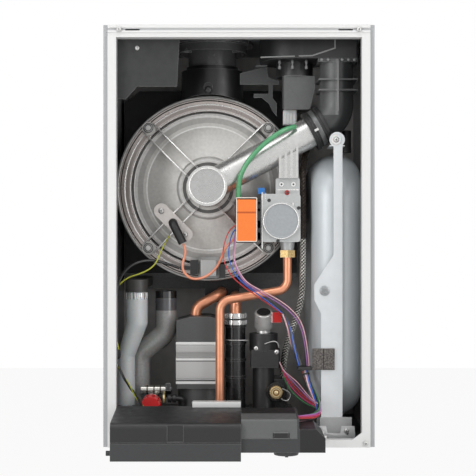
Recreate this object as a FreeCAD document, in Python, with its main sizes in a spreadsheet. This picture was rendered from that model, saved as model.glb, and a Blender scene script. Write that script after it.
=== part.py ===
# Condensing gas boiler for a wall, shown with its front cover taken off and its
# control box swung down in front of the casing.
# X runs to the right, Y towards the wall and Z up.  The origin lies on the back face,
# midway between the two wall fixings.  Depths are counted from the back face forward.
import FreeCAD, Part
import math
import os
import re
import Sketcher

SIZES = {
    # Casing of folded sheet, with its front frame
    "case_width": 450, "case_height": 700, "case_depth": 345, "case_top": 60, "sheet_wall": 1.2,
    "opening_width": 407, "strip_width": 7.5, "strip_recess": 5, "frame_depth": 20, "frame_leg": 14,
    "rail_height": 21, "rail_wall": 4, "groove_top": 5.5, "groove_width": 3.5, "groove_depth": 3,
    "recess_top": 13, "recess_width": 5.5, "recess_depth": 1.5, "sill_height": 13,
    "gusset_width": 16, "gusset_height": 12, "gusset_wall": 1.5,
    "hook_slot_width": 24, "hook_slot_height": 3, "hook_slot_inset": 10,
    # Wall fixings and general clearances
    "fixing_spacing": 200, "fixing_hole_radius": 5, "fixing_slot_length": 16, "round_share": 0.96,
    "seat_gap": 0.3, "running_gap": 0.5, "fit_gap": 0.06, "overrun": 2,
    # Fasteners
    "screw_head_radius": 3.6, "screw_head": 2.4, "screw_radius": 1.9, "screw_length": 7,
    "frame_screw_inset": 19, "frame_screw_drop": 8.5, "sill_screw_inset": 8, "sill_screw_rise": 7,
    "nut_radius": 7, "nut_height": 6,
    # Label plate at the upper left
    "label_right_top": 98.5, "label_right_bottom": 103.5, "label_drop": 99, "label_fold": 14,
    "label_tab_drop": 21, "label_tab_left": 189, "label_tab_right": 170,
    # Heat exchanger drum and the black housing behind it
    "drum_x": 54, "drum_drop": 205, "drum_radius": 150, "drum_wall": 1.2, "drum_length": 128,
    "housing_depth": 60, "housing_left": 164, "housing_right": 164, "housing_up": 191,
    "housing_down": 184, "housing_slope": 30, "housing_shoulder": 22, "housing_back": 3,
    "housing_seat": 10, "rim_radius": 165, "rim_sheet": 1.5, "rim_lip": 9, "rim_wall": 5,
    "plate_inner": 137.5, "plate_wall": 4, "bead_radius": 149, "bead_width": 3, "bead_height": 1.5,
    "plate_groove": 2,
    # Cast burner door with four arms
    "door_radius": 134, "door_edge": 7, "shoulder_radius": 109, "shoulder_rise": 2.5,
    "dish_radius": 56, "dish_rise": 26, "seat_radius": 52, "seat_rise": 33, "door_wall": 5,
    "burner_radius": 36, "burner_wall": 0.8, "burner_length": 105, "door_bore": 27,
    "arm_spread": 11.5, "rib_wall": 2.6, "rib_top": 44, "rib_end": 15, "rib_foot": 7.6,
    "bolt_circle": 150, "lug_radius": 12, "lug_height": 6, "bolt_radius": 4,
    "boss_distance": 87, "boss_half": 29.5, "boss_radius": 13, "boss_top": 32,
    # Coil inside the drum and its header under the drum
    "coil_tube": 9.5, "coil_pitch": 20, "coil_lift": 4, "header_left": 1, "header_right": 62,
    "header_depth": 104, "header_width": 38, "header_drop": 206, "header_wall": 6,
    # Ignition electrodes and their boot, thermostat on the drum plate
    "electrode_plate": 2.5, "electrode_radius": 4, "electrode_spread": 9, "electrode_reach": 70,
    "collar_radius": 9.5, "collar_height": 7, "boot_radius": 7.5, "boot_rise": 16, "boot_right": 18,
    "boot_down": 36, "stat_width": 37, "stat_height": 38, "stat_depth": 34, "stat_low": 141,
    "stat_right": 18, "stat_wall": 6, "stat_foot": 5,
    # Flue collector and concentric flue terminal
    "flue_x": 48, "flue_depth": 165, "flue_socket": 56, "flue_socket_top": 6, "flue_pipe": 40.3,
    "flue_wall": 3, "flue_neck": 46, "collar_outer": 73.5, "collar_low": 14, "collar_rise": 6,
    "air_radius": 62.5, "flue_stand": 20, "flue_web": 4, "port_radius": 8, "port_rise": 9,
    "port_drop": 28, "port_left": 6,
    # Fan on a vertical shaft with its motor below, and the support that carries it
    "fan_x": 98, "fan_depth": 235, "fan_floor": 12, "fan_height": 40, "fan_radius": 62,
    "fan_wall": 3, "fan_eye": 26, "duct_right": 202, "duct_back": 236,
    "duct_front": 296, "wheel_radius": 46, "wheel_height": 24, "wheel_plate": 2, "hub_radius": 10,
    "blade_wall": 1.2, "blade_inner": 34, "blades": 24, "shaft_radius": 3, "shaft_length": 34,
    "motor_width": 56, "motor_ahead": 15, "motor_behind": 37, "motor_top": 12, "motor_low": 70,
    "motor_neck": 32, "motor_taper": 9,
    "support_wall": 2, "support_left": 2, "support_step": 50, "support_right": 71,
    "support_top": 11.7, "support_low": 76.5, "support_mid": 14, "support_waist": 20,
    "arm_left": 26.6, "arm_mid": 40.7, "arm_right": 67.2, "arm_width": 7, "arm_top": 36.6,
    "arm_bend": 53.5, "strip_left": 53, "strip_right": 60, "arm_slant": 9,
    # Plastic air elbow, rubber coupling and cast mixing pipe
    "elbow_x": 168, "elbow_depth": 266, "elbow_radius": 29, "elbow_wall": 3, "elbow_bend": 40,
    "flange_width": 67, "flange_reach": 58, "flange_wall": 6, "elbow_rib": 33, "elbow_rib_wall": 2.5,
    "elbow_rib_first": 24, "elbow_rib_pitch": 18, "elbow_end": 32, "coupling_length": 30,
    "coupling_radius": 32, "coupling_bead": 34.5, "bead_length": 7, "coupling_lap": 10,
    "coupling_clear": 0.2, "mixing_angle": 28, "mixing_depth": 266, "mixing_radius": 26,
    "mixing_bore": 22, "hub_outer": 34, "hub_front": 300, "hub_wall": 5, "hub_ring": 29,
    "hub_ring_depth": 2, "web_wall": 4, "web_first": 68, "web_pitch": 9.7, "web_back": 262,
    "web_front": 289, "web_count": 4, "neck_front": 285, "neck_top": 138,
    "stub_radius": 2.6, "hose_end_x": 96, "hose_end_depth": 287,
    "hose_end_drop": 104,
    # Gas valve with the igniter beside it, and the gas pipe
    "valve_left": 38, "valve_right": 105, "valve_top": 218, "valve_bottom": 300,
    "valve_back": 226, "valve_front": 284, "valve_corner": 5, "block_left": 63, "block_right": 104,
    "block_top": 191, "block_back": 236, "block_front": 278, "cap_x": 73, "cap_low": 263,
    "cap_radius": 31.5, "cap_height": 6, "cap_disc": 28, "inlet_x": 84, "inlet_depth": 255,
    "cone_top": 13.5, "cone_bottom": 11, "cone_height": 14, "gas_nut_flats": 25,
    "gas_nut_height": 12.5, "gas_pipe_radius": 7.5, "pipe_wall": 1, "gas_drop": 382,
    "gas_cross_x": 33, "gas_cross": 402, "gas_front": 268, "gas_low": 596, "gas_back": 150,
    "gas_back_low": 620, "gas_bend": 20, "tail_end": 672, "tail_relief": 4, "relief_cut": 0.6,
    "igniter_left": 4, "igniter_right": 30, "igniter_top": 228, "igniter_bottom": 299,
    "igniter_back": 238, "igniter_front": 298, "igniter_margin": 2.8, "igniter_corner": 3,
    "igniter_frame_depth": 10, "barb_x": 1, "barb_depth": 290, "barb_rise": 3,
    "socket_back": 252, "socket_front": 290, "socket_low": 296, "socket_high": 232,
    "blue_front": 272, "blue_width": 11, "blue_high": 207,
    # Pump with a vertical shaft
    "pump_left": 110, "pump_right": 27, "pump_back": 150, "pump_front": 240, "pump_top": 431,
    "pump_shoulder": 438, "pump_ridge": 84, "pump_flat": 50, "pump_band_top": 475, "pump_band_bottom": 548,
    "pump_rib": 3.5, "pump_groove": 3, "pump_groove_top": 16, "pump_groove_height": 10,
    "pump_corner": 4, "volute_radius": 40, "volute_wall": 4, "volute_bottom": 599,
    "rotor_radius": 20, "rotor_length": 50, "pump_wheel": 32, "pump_wheel_height": 14,
    "pump_blade": 5, "pump_blades": 7, "pump_shaft": 5, "pump_eye": 12,
    # Moulded hydraulic block, diverter valve and small fittings
    "base_left": 165, "base_right": 96, "base_back": 126, "base_front": 236, "base_height": 26,
    "base_corner": 6, "column_x": 6, "column_depth": 212, "column_radius": 17.5, "column_top": 446,
    "column_rib": 19, "column_rib_height": 4, "column_rib_pitch": 30, "column_ribs": 4,
    "diverter_x": 43.5, "diverter_depth": 208, "diverter_radius": 25, "diverter_top": 462,
    "diverter_flange_top": 490, "diverter_flange_bottom": 521, "diverter_flange_left": 20,
    "diverter_flange_right": 72, "diverter_flange_back": 182, "diverter_flange_front": 232,
    "stem_radius": 4, "stem_head": 9, "stem_head_height": 8, "stem_length": 84, "stem_rest": 30,
    "chamber_radius": 15, "chamber_height": 62, "actuator_radius": 15.8, "actuator_height": 30,
    "actuator_tilt": 28, "actuator_seat": 12, "connector_width": 18,
    "connector_height": 18, "plug_lift": 20,
    "drain_x": 65, "drain_low": 563, "drain_radius": 11.5, "drain_ring": 16, "drain_back": 150,
    "drain_face": 228, "drain_front": 240, "drain_block": 20, "drain_stub": 6.5,
    "hose_stub": 4.5, "stub_x": 78, "stub_depth": 190,
    # Copper flow pipe, return pipe, their nuts and the tails through the bottom
    "flow_radius": 9.5, "flow_turn": 399, "return_radius": 9.5, "return_x": 77,
    "return_depth": 196, "return_turn": 417, "return_enter_x": 32, "return_enter": 392,
    "flow_nut_radius": 18, "flow_nut_height": 9, "flow_nut_gap": 3, "flow_nut_top": 426,
    "flow_foot_height": 8, "tail_depth": 150, "tail_radius": 11, "tail_small": 7.5,
    "flow_tail_x": 150, "hot_tail_x": 100, "cold_tail_x": 28, "return_tail_x": 78,
    # Safety valve with its turning knob
    "relief_x": 151, "relief_low": 579, "relief_tube_low": 560, "relief_left": 172,
    "relief_right": 118, "relief_tube_radius": 8, "relief_depth": 226, "relief_radius": 12,
    "relief_back": 214, "relief_face": 262, "knob_radius": 17, "knob_length": 28,
    "knob_flutes": 10, "flute_radius": 2.5, "spindle_radius": 4, "spindle_length": 14,
    # Condensate siphon and rear trap
    "siphon_x": 179, "siphon_depth": 232, "siphon_top": 400, "siphon_straight": 444,
    "siphon_radius": 19, "siphon_low_x": 197, "siphon_low_start": 500, "siphon_low_radius": 15,
    "siphon_bottom": 585, "siphon_wall": 2.5, "siphon_cap": 18, "siphon_cap_height": 12,
    "siphon_cap_radius": 17.5, "siphon_inlet_top": 366, "siphon_inlet_radius": 20,
    "spigot_radius": 10, "trap_x": 130, "trap_depth": 193, "trap_top": 388, "trap_radius": 19,
    "trap_turn": 462, "trap_end_x": 178, "trap_end": 500, "trap_bend": 26,
    # Expansion vessel standing against the right side
    "vessel_left": 125, "vessel_right": 213, "seam_x": 167, "seam_width": 4, "seam_margin": 5,
    "vessel_back": 26, "vessel_front": 296, "vessel_top": 148, "vessel_bottom": 602,
    "vessel_corner": 88, "vessel_dome": 36, "vessel_wall": 1.5, "membrane_wall": 1.6,
    "strap_left": 160, "strap_right": 175, "strap_wall": 1.5, "strap_top": 127,
    "strap_bottom": 612, "strap_wing_left": 127.5, "strap_wing_high": 322, "strap_wing_top": 372,
    "strap_wing_bottom": 398, "strap_wing_low": 421, "strap_lower_left": 139,
    "hook_rivet": 11, "rivet_x": 170, "rivet_height": 24,
    "hook_left": 155, "hook_right": 183, "hook_x": 166, "hook_drop": 127,
    "hook_round": 13, "hook_low": 138, "hook_depth": 60,
    "foot_left": 140, "foot_right": 191, "foot_high": 612, "foot_back": 180, "foot_wall": 3,
    "pad_left": 125, "pad_right": 160.5, "pad_high": 481, "pad_low": 515, "pad_wall": 4,
    "tee_x": 189, "tee_depth": 215, "tee_top": 104, "tee_radius": 9,
    "tee_branch": 7.5,
    # Control box, swung down in front of the casing about its hinge
    "hinge_depth": 374, "hinge_drop": 619, "box_left": 199.4, "box_split": 3, "box_right": 93,
    "tray_right": 134, "box_back": 368, "box_front": 474, "box_back_top": 568,
    "box_front_top": 580, "box_bottom": 638.6, "box_mid": 611, "box_nose": 9, "box_wall": 2.5,
    "box_joint": 1.2, "cover_back_top": 570, "cover_front_top": 574, "cover_bottom": 604,
    "cover_front": 466, "cover_nose": 4, "tray_bottom": 626, "tray_ledge": 590, "tray_slope": 14,
    "notch_left": 111, "notch_right": 86, "notch_rise": 3, "notch_depth": 2, "seam_groove": 1.6,
    "panel_bar_left": 78, "panel_bar_height": 6, "panel_bar_depth": 9,
    "lug_wall": 3, "lug_reach": 36, "lug_top": 608, "lug_bottom": 639, "pin_radius": 3,
    "pin_head_radius": 4.6, "pin_head": 4, "pin_length": 15, "catch_radius": 4, "catch_length": 8,
    "catch_depth": 456, "catch_low": 628.6, "board_wall": 1.6, "board_lift": 8, "board_inset": 9,
    "dial_radius": 20, "dial_height": 8, "grip_rise": 1.5, "dial_inset": 36, "dial_depth": 405,
    "right_dial_x": 74, "right_dial_depth": 440, "dial_spindle": 3,
    "dial_grip": 5, "display_left": 130, "display_right": 62, "display_back": 398,
    "display_front": 442, "display_sink": 1,
    "flap_pin_radius": 2, "flap_pin_length": 6, "latch_left": 54, "latch_right": 76,
    "latch_height": 10, "latch_wall": 2, "entry_radius": 7, "entry_depth": 398.6, "entry_drop": 584,
    "left_entry_x": 150, "left_entry_drop": 588, "post_radius": 3.5, "post_inset": 12,
    "barrel_radius": 3.5, "barrel_depth": 373, "barrel_drop": 575.5,
    # Leads, hoses and their clips
    "thin_lead": 2, "earth_lead": 2.6, "ignition_lead": 4.6, "black_cable": 5, "loom_sheath": 10,
    "green_hose": 8.6, "braided_hose": 12, "plug_left": 104, "plug_right": 86, "plug_low": 358,
    "plug_high": 332, "plug_depth": 206, "plug_thick": 15, "plug_arm_low": 350,
    "plug_arm_high": 343, "side_width": 11, "side_low": 364, "side_high": 340, "washer_radius": 4.8,
    "left_clip_x": 213, "left_clip_depth": 256, "left_clip_drop": 495, "clip_half": 8,
    "right_clip_x": 112, "right_clip_depth": 293, "right_clip_drop": 514, "right_clip_half": 12,
    "upper_sheath": 8,
}

document = FreeCAD.newDocument("boiler")
sheet = document.addObject("Spreadsheet::Sheet", "sizes")
for row, (alias, number) in enumerate(SIZES.items(), 1):
    sheet.set(f"A{row}", alias)
    sheet.set(f"B{row}", str(number))
    sheet.setAlias(f"B{row}", alias)
document.recompute()

WORD = re.compile(r"[a-z_][a-z0-9_]*")
NODES = []
FORWARD = FreeCAD.Rotation(FreeCAD.Vector(1, 0, 0), 90)
RIGHTWARD = FreeCAD.Rotation(FreeCAD.Vector(0, 1, 0), 90)
UPWARD = FreeCAD.Rotation()


def bound(text):
    """An expression in named sizes, with each name looked up in the sheet."""
    return WORD.sub(lambda word: f"sizes.{word[0]}" if word[0] in SIZES else word[0], text)


def size(text):
    return float(sheet.evalExpression(bound(text)))


def vector(x, y, z="0"):
    return FreeCAD.Vector(size(x), size(y), size(z))


def place(item, x="0", y="0", z="0", turn=UPWARD):
    item.Placement = FreeCAD.Placement(FreeCAD.Vector(), turn)
    for letter, text in zip("xyz", (x, y, z)):
        item.setExpression(f"Placement.Base.{letter}", bound(text))
    return item


def node(label, item):
    item.Label = label
    NODES.append(item)
    return item


def pin_down(sketch, geometry, point, x, y):
    for kind, text in (("DistanceX", x), ("DistanceY", y)):
        index = sketch.addConstraint(
            Sketcher.Constraint(kind, -1, 1, geometry, point, size(text)))
        sketch.setExpression(f"Constraints[{index}]", bound(text))


def set_radius(sketch, geometry, text):
    index = sketch.addConstraint(Sketcher.Constraint("Radius", geometry, size(text)))
    sketch.setExpression(f"Constraints[{index}]", bound(text))


def draw_ring(sketch, x, y, radius):
    circle = sketch.addGeometry(
        Part.Circle(vector(x, y), FreeCAD.Vector(0, 0, 1), size(radius)))
    pin_down(sketch, circle, 3, x, y)
    set_radius(sketch, circle, radius)


def draw_outline(sketch, corners):
    """A closed outline; a corner with a third value is rounded by that radius."""
    places = [vector(*corner[:2]) for corner in corners]
    count = len(corners)
    arrive = list(places)
    leave = list(places)
    arcs = {}
    for index, corner in enumerate(corners):
        if len(corner) < 3:
            continue
        back = (places[index - 1] - places[index]).normalize()
        ahead = (places[(index + 1) % count] - places[index]).normalize()
        half = back.getAngle(ahead) / 2
        radius = size(corner[2])
        arrive[index] = places[index] + back * (radius / math.tan(half))
        leave[index] = places[index] + ahead * (radius / math.tan(half))
        middle = places[index] + (back + ahead).normalize() * (radius / math.sin(half))
        arcs[index] = (middle, radius)
    first = sketch.GeometryCount
    for index in range(count):
        sketch.addGeometry(Part.LineSegment(leave[index], arrive[(index + 1) % count]))
    for index, corner in enumerate(corners):
        before = first + (index - 1) % count
        after = first + index
        if index not in arcs:
            sketch.addConstraint(Sketcher.Constraint("Coincident", before, 2, after, 1))
            pin_down(sketch, after, 1, *corner)
            continue
        middle, radius = arcs[index]
        angles = [math.atan2(point.y - middle.y, point.x - middle.x)
                  for point in (arrive[index], leave[index])]
        onward = (angles[1] - angles[0]) % math.tau < math.pi
        ends = (1, 2) if onward else (2, 1)
        start, stop = angles if onward else angles[::-1]
        circle = Part.Circle(middle, FreeCAD.Vector(0, 0, 1), radius)
        arc = sketch.addGeometry(Part.ArcOfCircle(circle, start, stop))
        sketch.addConstraint(Sketcher.Constraint("Tangent", before, 2, arc, ends[0]))
        sketch.addConstraint(Sketcher.Constraint("Tangent", after, 1, arc, ends[1]))
        set_radius(sketch, arc, corner[2])
        virtual = sketch.addGeometry(Part.Point(places[index]), True)
        sketch.addConstraint(Sketcher.Constraint("PointOnObject", virtual, 1, before))
        sketch.addConstraint(Sketcher.Constraint("PointOnObject", virtual, 1, after))
        pin_down(sketch, virtual, 1, *corner[:2])


def rectangle(left, low, right, high, radius=None):
    rounding = (radius,) if radius else ()
    return [(x, y) + rounding for x, y in ((left, low), (right, low), (right, high), (left, high))]


def hexagon(x, y, flats):
    """Six corners of a hexagon whose flats lie at the given distance from its middle."""
    corner = f"2 * ({flats}) / sqrt(3)"
    return [(f"{x} + {corner} * cos({turn})", f"{y} + {corner} * sin({turn})")
            for turn in range(30, 390, 60)]


def new_body(label):
    body = document.addObject("PartDesign::Body", "body")
    body.Label = label
    return body


def origin_part(body, role):
    return next(item for item in body.Origin.OriginFeatures if item.Role == role)


def sketch_in(body, plane, loops, lift="0"):
    """A sketch on an origin plane, lifted along that plane's normal (forward on XZ)."""
    sketch = body.newObject("Sketcher::SketchObject", "outline")
    sketch.AttachmentSupport = (origin_part(body, f"{plane}_Plane"), "")
    sketch.MapMode = "FlatFace"
    sketch.setExpression("AttachmentOffset.Base.z", bound(lift))
    for loop in loops:
        if loop[0] == "ring":
            draw_ring(sketch, *loop[1:])
        else:
            draw_outline(sketch, loop)
    return sketch


def pad(body, plane, loops, lift, length):
    feature = body.newObject("PartDesign::Pad", "pad")
    feature.Profile = sketch_in(body, plane, loops, lift)
    feature.setExpression("Length", bound(length))
    return feature


def pocket(body, plane, loops, lift, length):
    """Cut backwards from the sketch, against the plane's normal."""
    feature = body.newObject("PartDesign::Pocket", "pocket")
    feature.Profile = sketch_in(body, plane, loops, lift)
    feature.setExpression("Length", bound(length))
    return feature


def turn_profile(body, loops, kind="PartDesign::Revolution"):
    """Turn outlines of (radius, height) about the body's own Z axis."""
    feature = body.newObject(kind, "turned")
    sketch = sketch_in(body, "XZ", loops)
    feature.Profile = sketch
    feature.ReferenceAxis = (sketch, ["V_Axis"])
    feature.Angle = 360
    return feature


def polar(body, features, count):
    pattern = body.newObject("PartDesign::PolarPattern", "around")
    pattern.Originals = features
    pattern.Axis = (origin_part(body, "Z_Axis"), [""])
    pattern.Angle = 360
    pattern.Occurrences = count
    body.Tip = pattern
    return pattern


def along(edge, x, y, z):
    if not isinstance(edge.Curve, Part.Line):
        return False
    direction = edge.tangentAt(edge.FirstParameter)
    return abs(abs(direction.dot(FreeCAD.Vector(x, y, z))) - 1) < 1e-6


def soften(body, radius, chosen):
    document.recompute()
    tip = body.Tip
    names = [f"Edge{index}" for index, edge in enumerate(tip.Shape.Edges, 1) if chosen(edge)]
    fillet = body.newObject("PartDesign::Fillet", "rounded")
    fillet.Base = (tip, names)
    fillet.setExpression("Radius", bound(radius))
    return fillet


def rod(radius, length, x="0", y="0", z="0", turn=UPWARD):
    item = document.addObject("Part::Cylinder", "rod")
    item.setExpression("Radius", bound(radius))
    item.setExpression("Height", bound(length))
    return place(item, x, y, z, turn)


def cone(low, high, length, x, y, z, turn=UPWARD):
    item = document.addObject("Part::Cone", "cone")
    item.setExpression("Radius1", bound(low))
    item.setExpression("Radius2", bound(high))
    item.setExpression("Height", bound(length))
    return place(item, x, y, z, turn)


def block(low, high):
    """A box between two corners, each given as three expressions."""
    item = document.addObject("Part::Box", "block")
    for name, start, stop in zip(("Length", "Width", "Height"), low, high):
        item.setExpression(name, bound(f"({stop}) - ({start})"))
    return place(item, *low)


def fuse(*items):
    item = document.addObject("Part::MultiFuse", "joined")
    item.Shapes = list(items)
    return item


def cut(base, *tools):
    item = document.addObject("Part::Cut", "cut")
    item.Base = base
    item.Tool = tools[0] if len(tools) == 1 else fuse(*tools)
    return item


def group(*items):
    item = document.addObject("Part::Compound", "group")
    item.Links = list(items)
    return item


def free_form(shape):
    item = document.addObject("Part::Feature", "shape")
    item.Shape = shape
    return item


def bent_path(points, radius=None):
    """Straight runs joined by tangent arcs.

    Each arc has the given radius, or else the largest that its two runs leave room for.
    """
    largest_share = 0.45
    edges = []
    radii = []
    begin = points[0]
    for before, corner, after in zip(points, points[1:], points[2:]):
        back = before - corner
        ahead = after - corner
        half = (math.pi - back.getAngle(ahead)) / 2
        bend = radius or largest_share * min(back.Length, ahead.Length) / math.tan(half)
        trim = bend * math.tan(half)
        back.normalize()
        ahead.normalize()
        enter = corner + back * trim
        leave = corner + ahead * trim
        inward = (back + ahead).normalize()
        middle = corner + inward * (bend / math.cos(half) - bend)
        edges.append(Part.LineSegment(begin, enter).toShape())
        edges.append(Part.Arc(enter, middle, leave).toShape())
        radii.append(bend)
        begin = leave
    edges.append(Part.LineSegment(begin, points[-1]).toShape())
    return Part.Wire(edges), radii


def swept(path, radius):
    start = path.Edges[0]
    tangent = start.tangentAt(start.FirstParameter)
    circle = Part.makeCircle(radius, start.valueAt(start.FirstParameter), tangent)
    return path.makePipeShell([Part.Wire([circle])], True, False)


def pipe(points, outer, bend, bore=None):
    path, radii = bent_path(points, size(bend))
    shape = swept(path, size(outer))
    if bore:
        shape = shape.cut(swept(path, size(bore)))
    return free_form(shape)


def lead(label, points, diameter):
    """One lead, held at both ends, along a route of (x, depth, drop) chosen by hand."""
    route = [FreeCAD.Vector(x, -depth, -drop) for x, depth, drop in points]
    path, radii = bent_path(route)
    shape = swept(path, diameter / 2)
    section = math.pi * diameter ** 2 / 4
    print(f"{label}: length {path.Length:.0f}, volume over section times length "
          f"{shape.Volume / section / path.Length:.4f}, radii {[round(bend) for bend in radii]}")
    return shape


# Casing
def back_panel():
    body = new_body("back_panel")
    half = "case_width / 2"
    pad(body, "XZ", [rectangle(f"-{half}", "case_top - case_height", half, "case_top")],
        "0", "sheet_wall")
    half_run = "(fixing_slot_length / 2 - fixing_hole_radius)"
    for side in (-1, 1):
        middle = f"{side} * fixing_spacing / 2"
        slot = [[rectangle(f"{middle} - {half_run}", "-fixing_hole_radius",
                           f"{middle} + {half_run}", "fixing_hole_radius")]]
        slot += [[["ring", f"{middle} + {end} * {half_run}", "0", "fixing_hole_radius"]]
                 for end in (-1, 1)]
        for loops in slot:
            pocket(body, "XZ", loops, "sheet_wall + overrun", "sheet_wall + 2 * overrun")
    return node("back_panel", body)


def side_panel(side):
    body = new_body("side")
    outer = f"{side} * case_width / 2"
    inner = f"{side} * (case_width / 2 - sheet_wall)"
    strip = f"{side} * (case_width / 2 - strip_width)"
    front = "-(case_depth - strip_recess)"
    pad(body, "XY", [[(outer, "-sheet_wall"), (outer, front), (strip, front),
                      (strip, f"{front} + sheet_wall"), (inner, f"{front} + sheet_wall"),
                      (inner, "-sheet_wall")]],
        "case_top - case_height", "case_height")
    return body


def side_panels():
    return node("side_panels", group(side_panel(-1), side_panel(1)))


def level_panel(label, height, holes):
    body = new_body(label)
    half = "(case_width / 2 - sheet_wall)"
    pad(body, "XY", [rectangle(f"-{half}", "-(case_depth - frame_depth)", half, "-sheet_wall")],
        height, "sheet_wall")
    for x, depth, radius in holes:
        pocket(body, "XY", [["ring", x, f"-({depth})", radius]],
               f"{height} + sheet_wall + overrun", "sheet_wall + 2 * overrun")
    return node(label, body)


def stile(side):
    body = new_body("stile")
    outer = f"{side} * (case_width / 2 - strip_width)"
    inner = f"{side} * opening_width / 2"
    outer_skin = f"{outer} - {side} * sheet_wall"
    inner_skin = f"{inner} + {side} * sheet_wall"
    front = "-case_depth"
    pad(body, "XY", [[(outer, front), (outer, f"{front} + frame_leg"),
                      (outer_skin, f"{front} + frame_leg"), (outer_skin, f"{front} + sheet_wall"),
                      (inner_skin, f"{front} + sheet_wall"), (inner_skin, f"{front} + frame_depth"),
                      (inner, f"{front} + frame_depth"), (inner, front)]],
        "case_top - case_height + sill_height", "case_height - sill_height - rail_height")
    return body


def screw_places():
    across = "(case_width / 2 - strip_width - frame_screw_inset)"
    corner = "(case_width / 2 - strip_width - sill_screw_inset)"
    top = "case_top - frame_screw_drop"
    low = "case_top - case_height + sill_screw_rise"
    return [(f"-{across}", top), (across, top), (f"-{corner}", low), (corner, low)]


def top_rail():
    body = new_body("top rail")
    front = "-case_depth"
    top = "case_top"
    outer = "case_width / 2 - strip_width"
    grooves = [("groove_top", "groove_width", "groove_depth"),
               ("recess_top", "recess_width", "recess_depth")]
    face = []
    for start, width, depth in grooves:
        face += [(front, f"{top} - {start}"), (f"{front} + {depth}", f"{top} - {start}"),
                 (f"{front} + {depth}", f"{top} - {start} - {width}"),
                 (front, f"{top} - {start} - {width}")]
    low = f"{top} - rail_height"
    back = f"{front} + frame_depth"
    skin = f"{front} + rail_wall"
    pad(body, "YZ", [[(front, top), *face, (front, low), (back, low), (back, f"{low} + sheet_wall"),
                      (skin, f"{low} + sheet_wall"), (skin, f"{top} - sheet_wall"),
                      (back, f"{top} - sheet_wall"), (back, top)]],
        f"-({outer})", f"2 * ({outer})")
    pocket(body, "XZ", [["ring", x, z, "screw_radius + seat_gap"] for x, z in screw_places()[:2]],
           "case_depth + overrun", "rail_wall + 2 * overrun")
    slots = []
    for side in (-1, 1):
        far = f"{side} * ({outer} - frame_screw_inset - hook_slot_inset)"
        near = f"{far} - {side} * hook_slot_width"
        left, right = (far, near) if side < 0 else (near, far)
        middle = "case_top - frame_screw_drop"
        slots.append(rectangle(left, f"{middle} - hook_slot_height / 2",
                               right, f"{middle} + hook_slot_height / 2"))
    pocket(body, "XZ", slots, "case_depth + overrun", "rail_wall + 2 * overrun")
    return body


def bottom_rail():
    body = new_body("bottom rail")
    front = "-case_depth"
    low = "case_top - case_height"
    outer = "(case_width / 2 - strip_width)"
    top = f"{low} + sill_height"
    back = f"{front} + frame_depth"
    pad(body, "YZ", [[(front, low), (front, top), (f"{front} + frame_leg", top),
                      (f"{front} + frame_leg", f"{top} - sheet_wall"),
                      (f"{front} + sheet_wall", f"{top} - sheet_wall"),
                      (f"{front} + sheet_wall", f"{low} + sheet_wall"),
                      (back, f"{low} + sheet_wall"), (back, low)]],
        f"-{outer}", f"2 * {outer}")
    inner = "opening_width / 2"
    pad(body, "XZ", [[(f"{inner} - gusset_width", top), (inner, top),
                      (inner, f"{top} + gusset_height")]],
        "case_depth - gusset_wall", "gusset_wall")
    pocket(body, "XZ", [["ring", x, z, "screw_radius + seat_gap"] for x, z in screw_places()[2:]],
           "case_depth + overrun", "sheet_wall + 2 * overrun")
    return body


def hinge_lug(side):
    body = new_body("lug")
    inner = "-(box_left + box_joint)" if side < 0 else "tray_right + box_joint"
    start = f"{inner} - lug_wall" if side < 0 else inner
    pad(body, "YZ", [[("-case_depth", "-lug_bottom"), ("-case_depth", "-lug_top"),
                      ("-(case_depth + lug_reach)", "-lug_top", "lug_wall"),
                      ("-(case_depth + lug_reach)", "-lug_bottom", "lug_wall")],
                     ["ring", "-hinge_depth", "-hinge_drop", "pin_radius + fit_gap"]],
        start, "lug_wall")
    return body


def front_frame():
    return node("front_frame", group(stile(-1), stile(1), top_rail(), bottom_rail(),
                                     hinge_lug(-1), hinge_lug(1)))


def label_plate():
    body = new_body("label_plate")
    left = "-(case_width / 2 - strip_width)"
    top = "case_top - sheet_wall"
    depth = "case_depth - frame_depth - sheet_wall"
    low = f"{top} - label_drop"
    pad(body, "XZ", [[(left, f"{low} - label_tab_drop"), ("-label_tab_left", f"{low} - label_tab_drop"),
                      ("-label_tab_right", low), ("-label_right_bottom", low),
                      ("-label_right_top", top), (left, top)]], depth, "sheet_wall")
    pad(body, "XY", [rectangle(left, f"-({depth})", "-label_right_top",
                               f"-({depth} - label_fold)")],
        f"{top} - sheet_wall", "sheet_wall")
    return node("label_plate", body)


# Heat exchanger: pieces below are turned about the drum's axis, which points forward
def at_drum(body, turn=0):
    return place(body, "-drum_x", "-housing_depth", "-drum_drop",
                 FORWARD * FreeCAD.Rotation(FreeCAD.Vector(0, 0, 1), turn))


def exchanger_housing():
    body = new_body("exchanger_housing")
    left = "-(drum_x + housing_left)"
    right = "housing_right - drum_x"
    top = "-(drum_drop - housing_up)"
    low = "-(drum_drop + housing_down)"
    chamfer = ("housing_slope", "housing_shoulder")
    pad(body, "XZ", [[(f"{left} + {chamfer[0]}", top), (f"{right} - {chamfer[0]}", top),
                      (right, f"{top} - {chamfer[1]}"), (right, f"{low} + {chamfer[1]}"),
                      (f"{right} - {chamfer[0]}", low), (f"{left} + {chamfer[0]}", low),
                      (left, f"{low} + {chamfer[1]}"), (left, f"{top} - {chamfer[1]}")]],
        "sheet_wall", "housing_depth - sheet_wall")
    pocket(body, "XZ", [["ring", "-drum_x", "-drum_drop", "drum_radius - housing_seat"]],
           "housing_depth", "housing_depth - sheet_wall - housing_back")
    return node("exchanger_housing", body)


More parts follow.
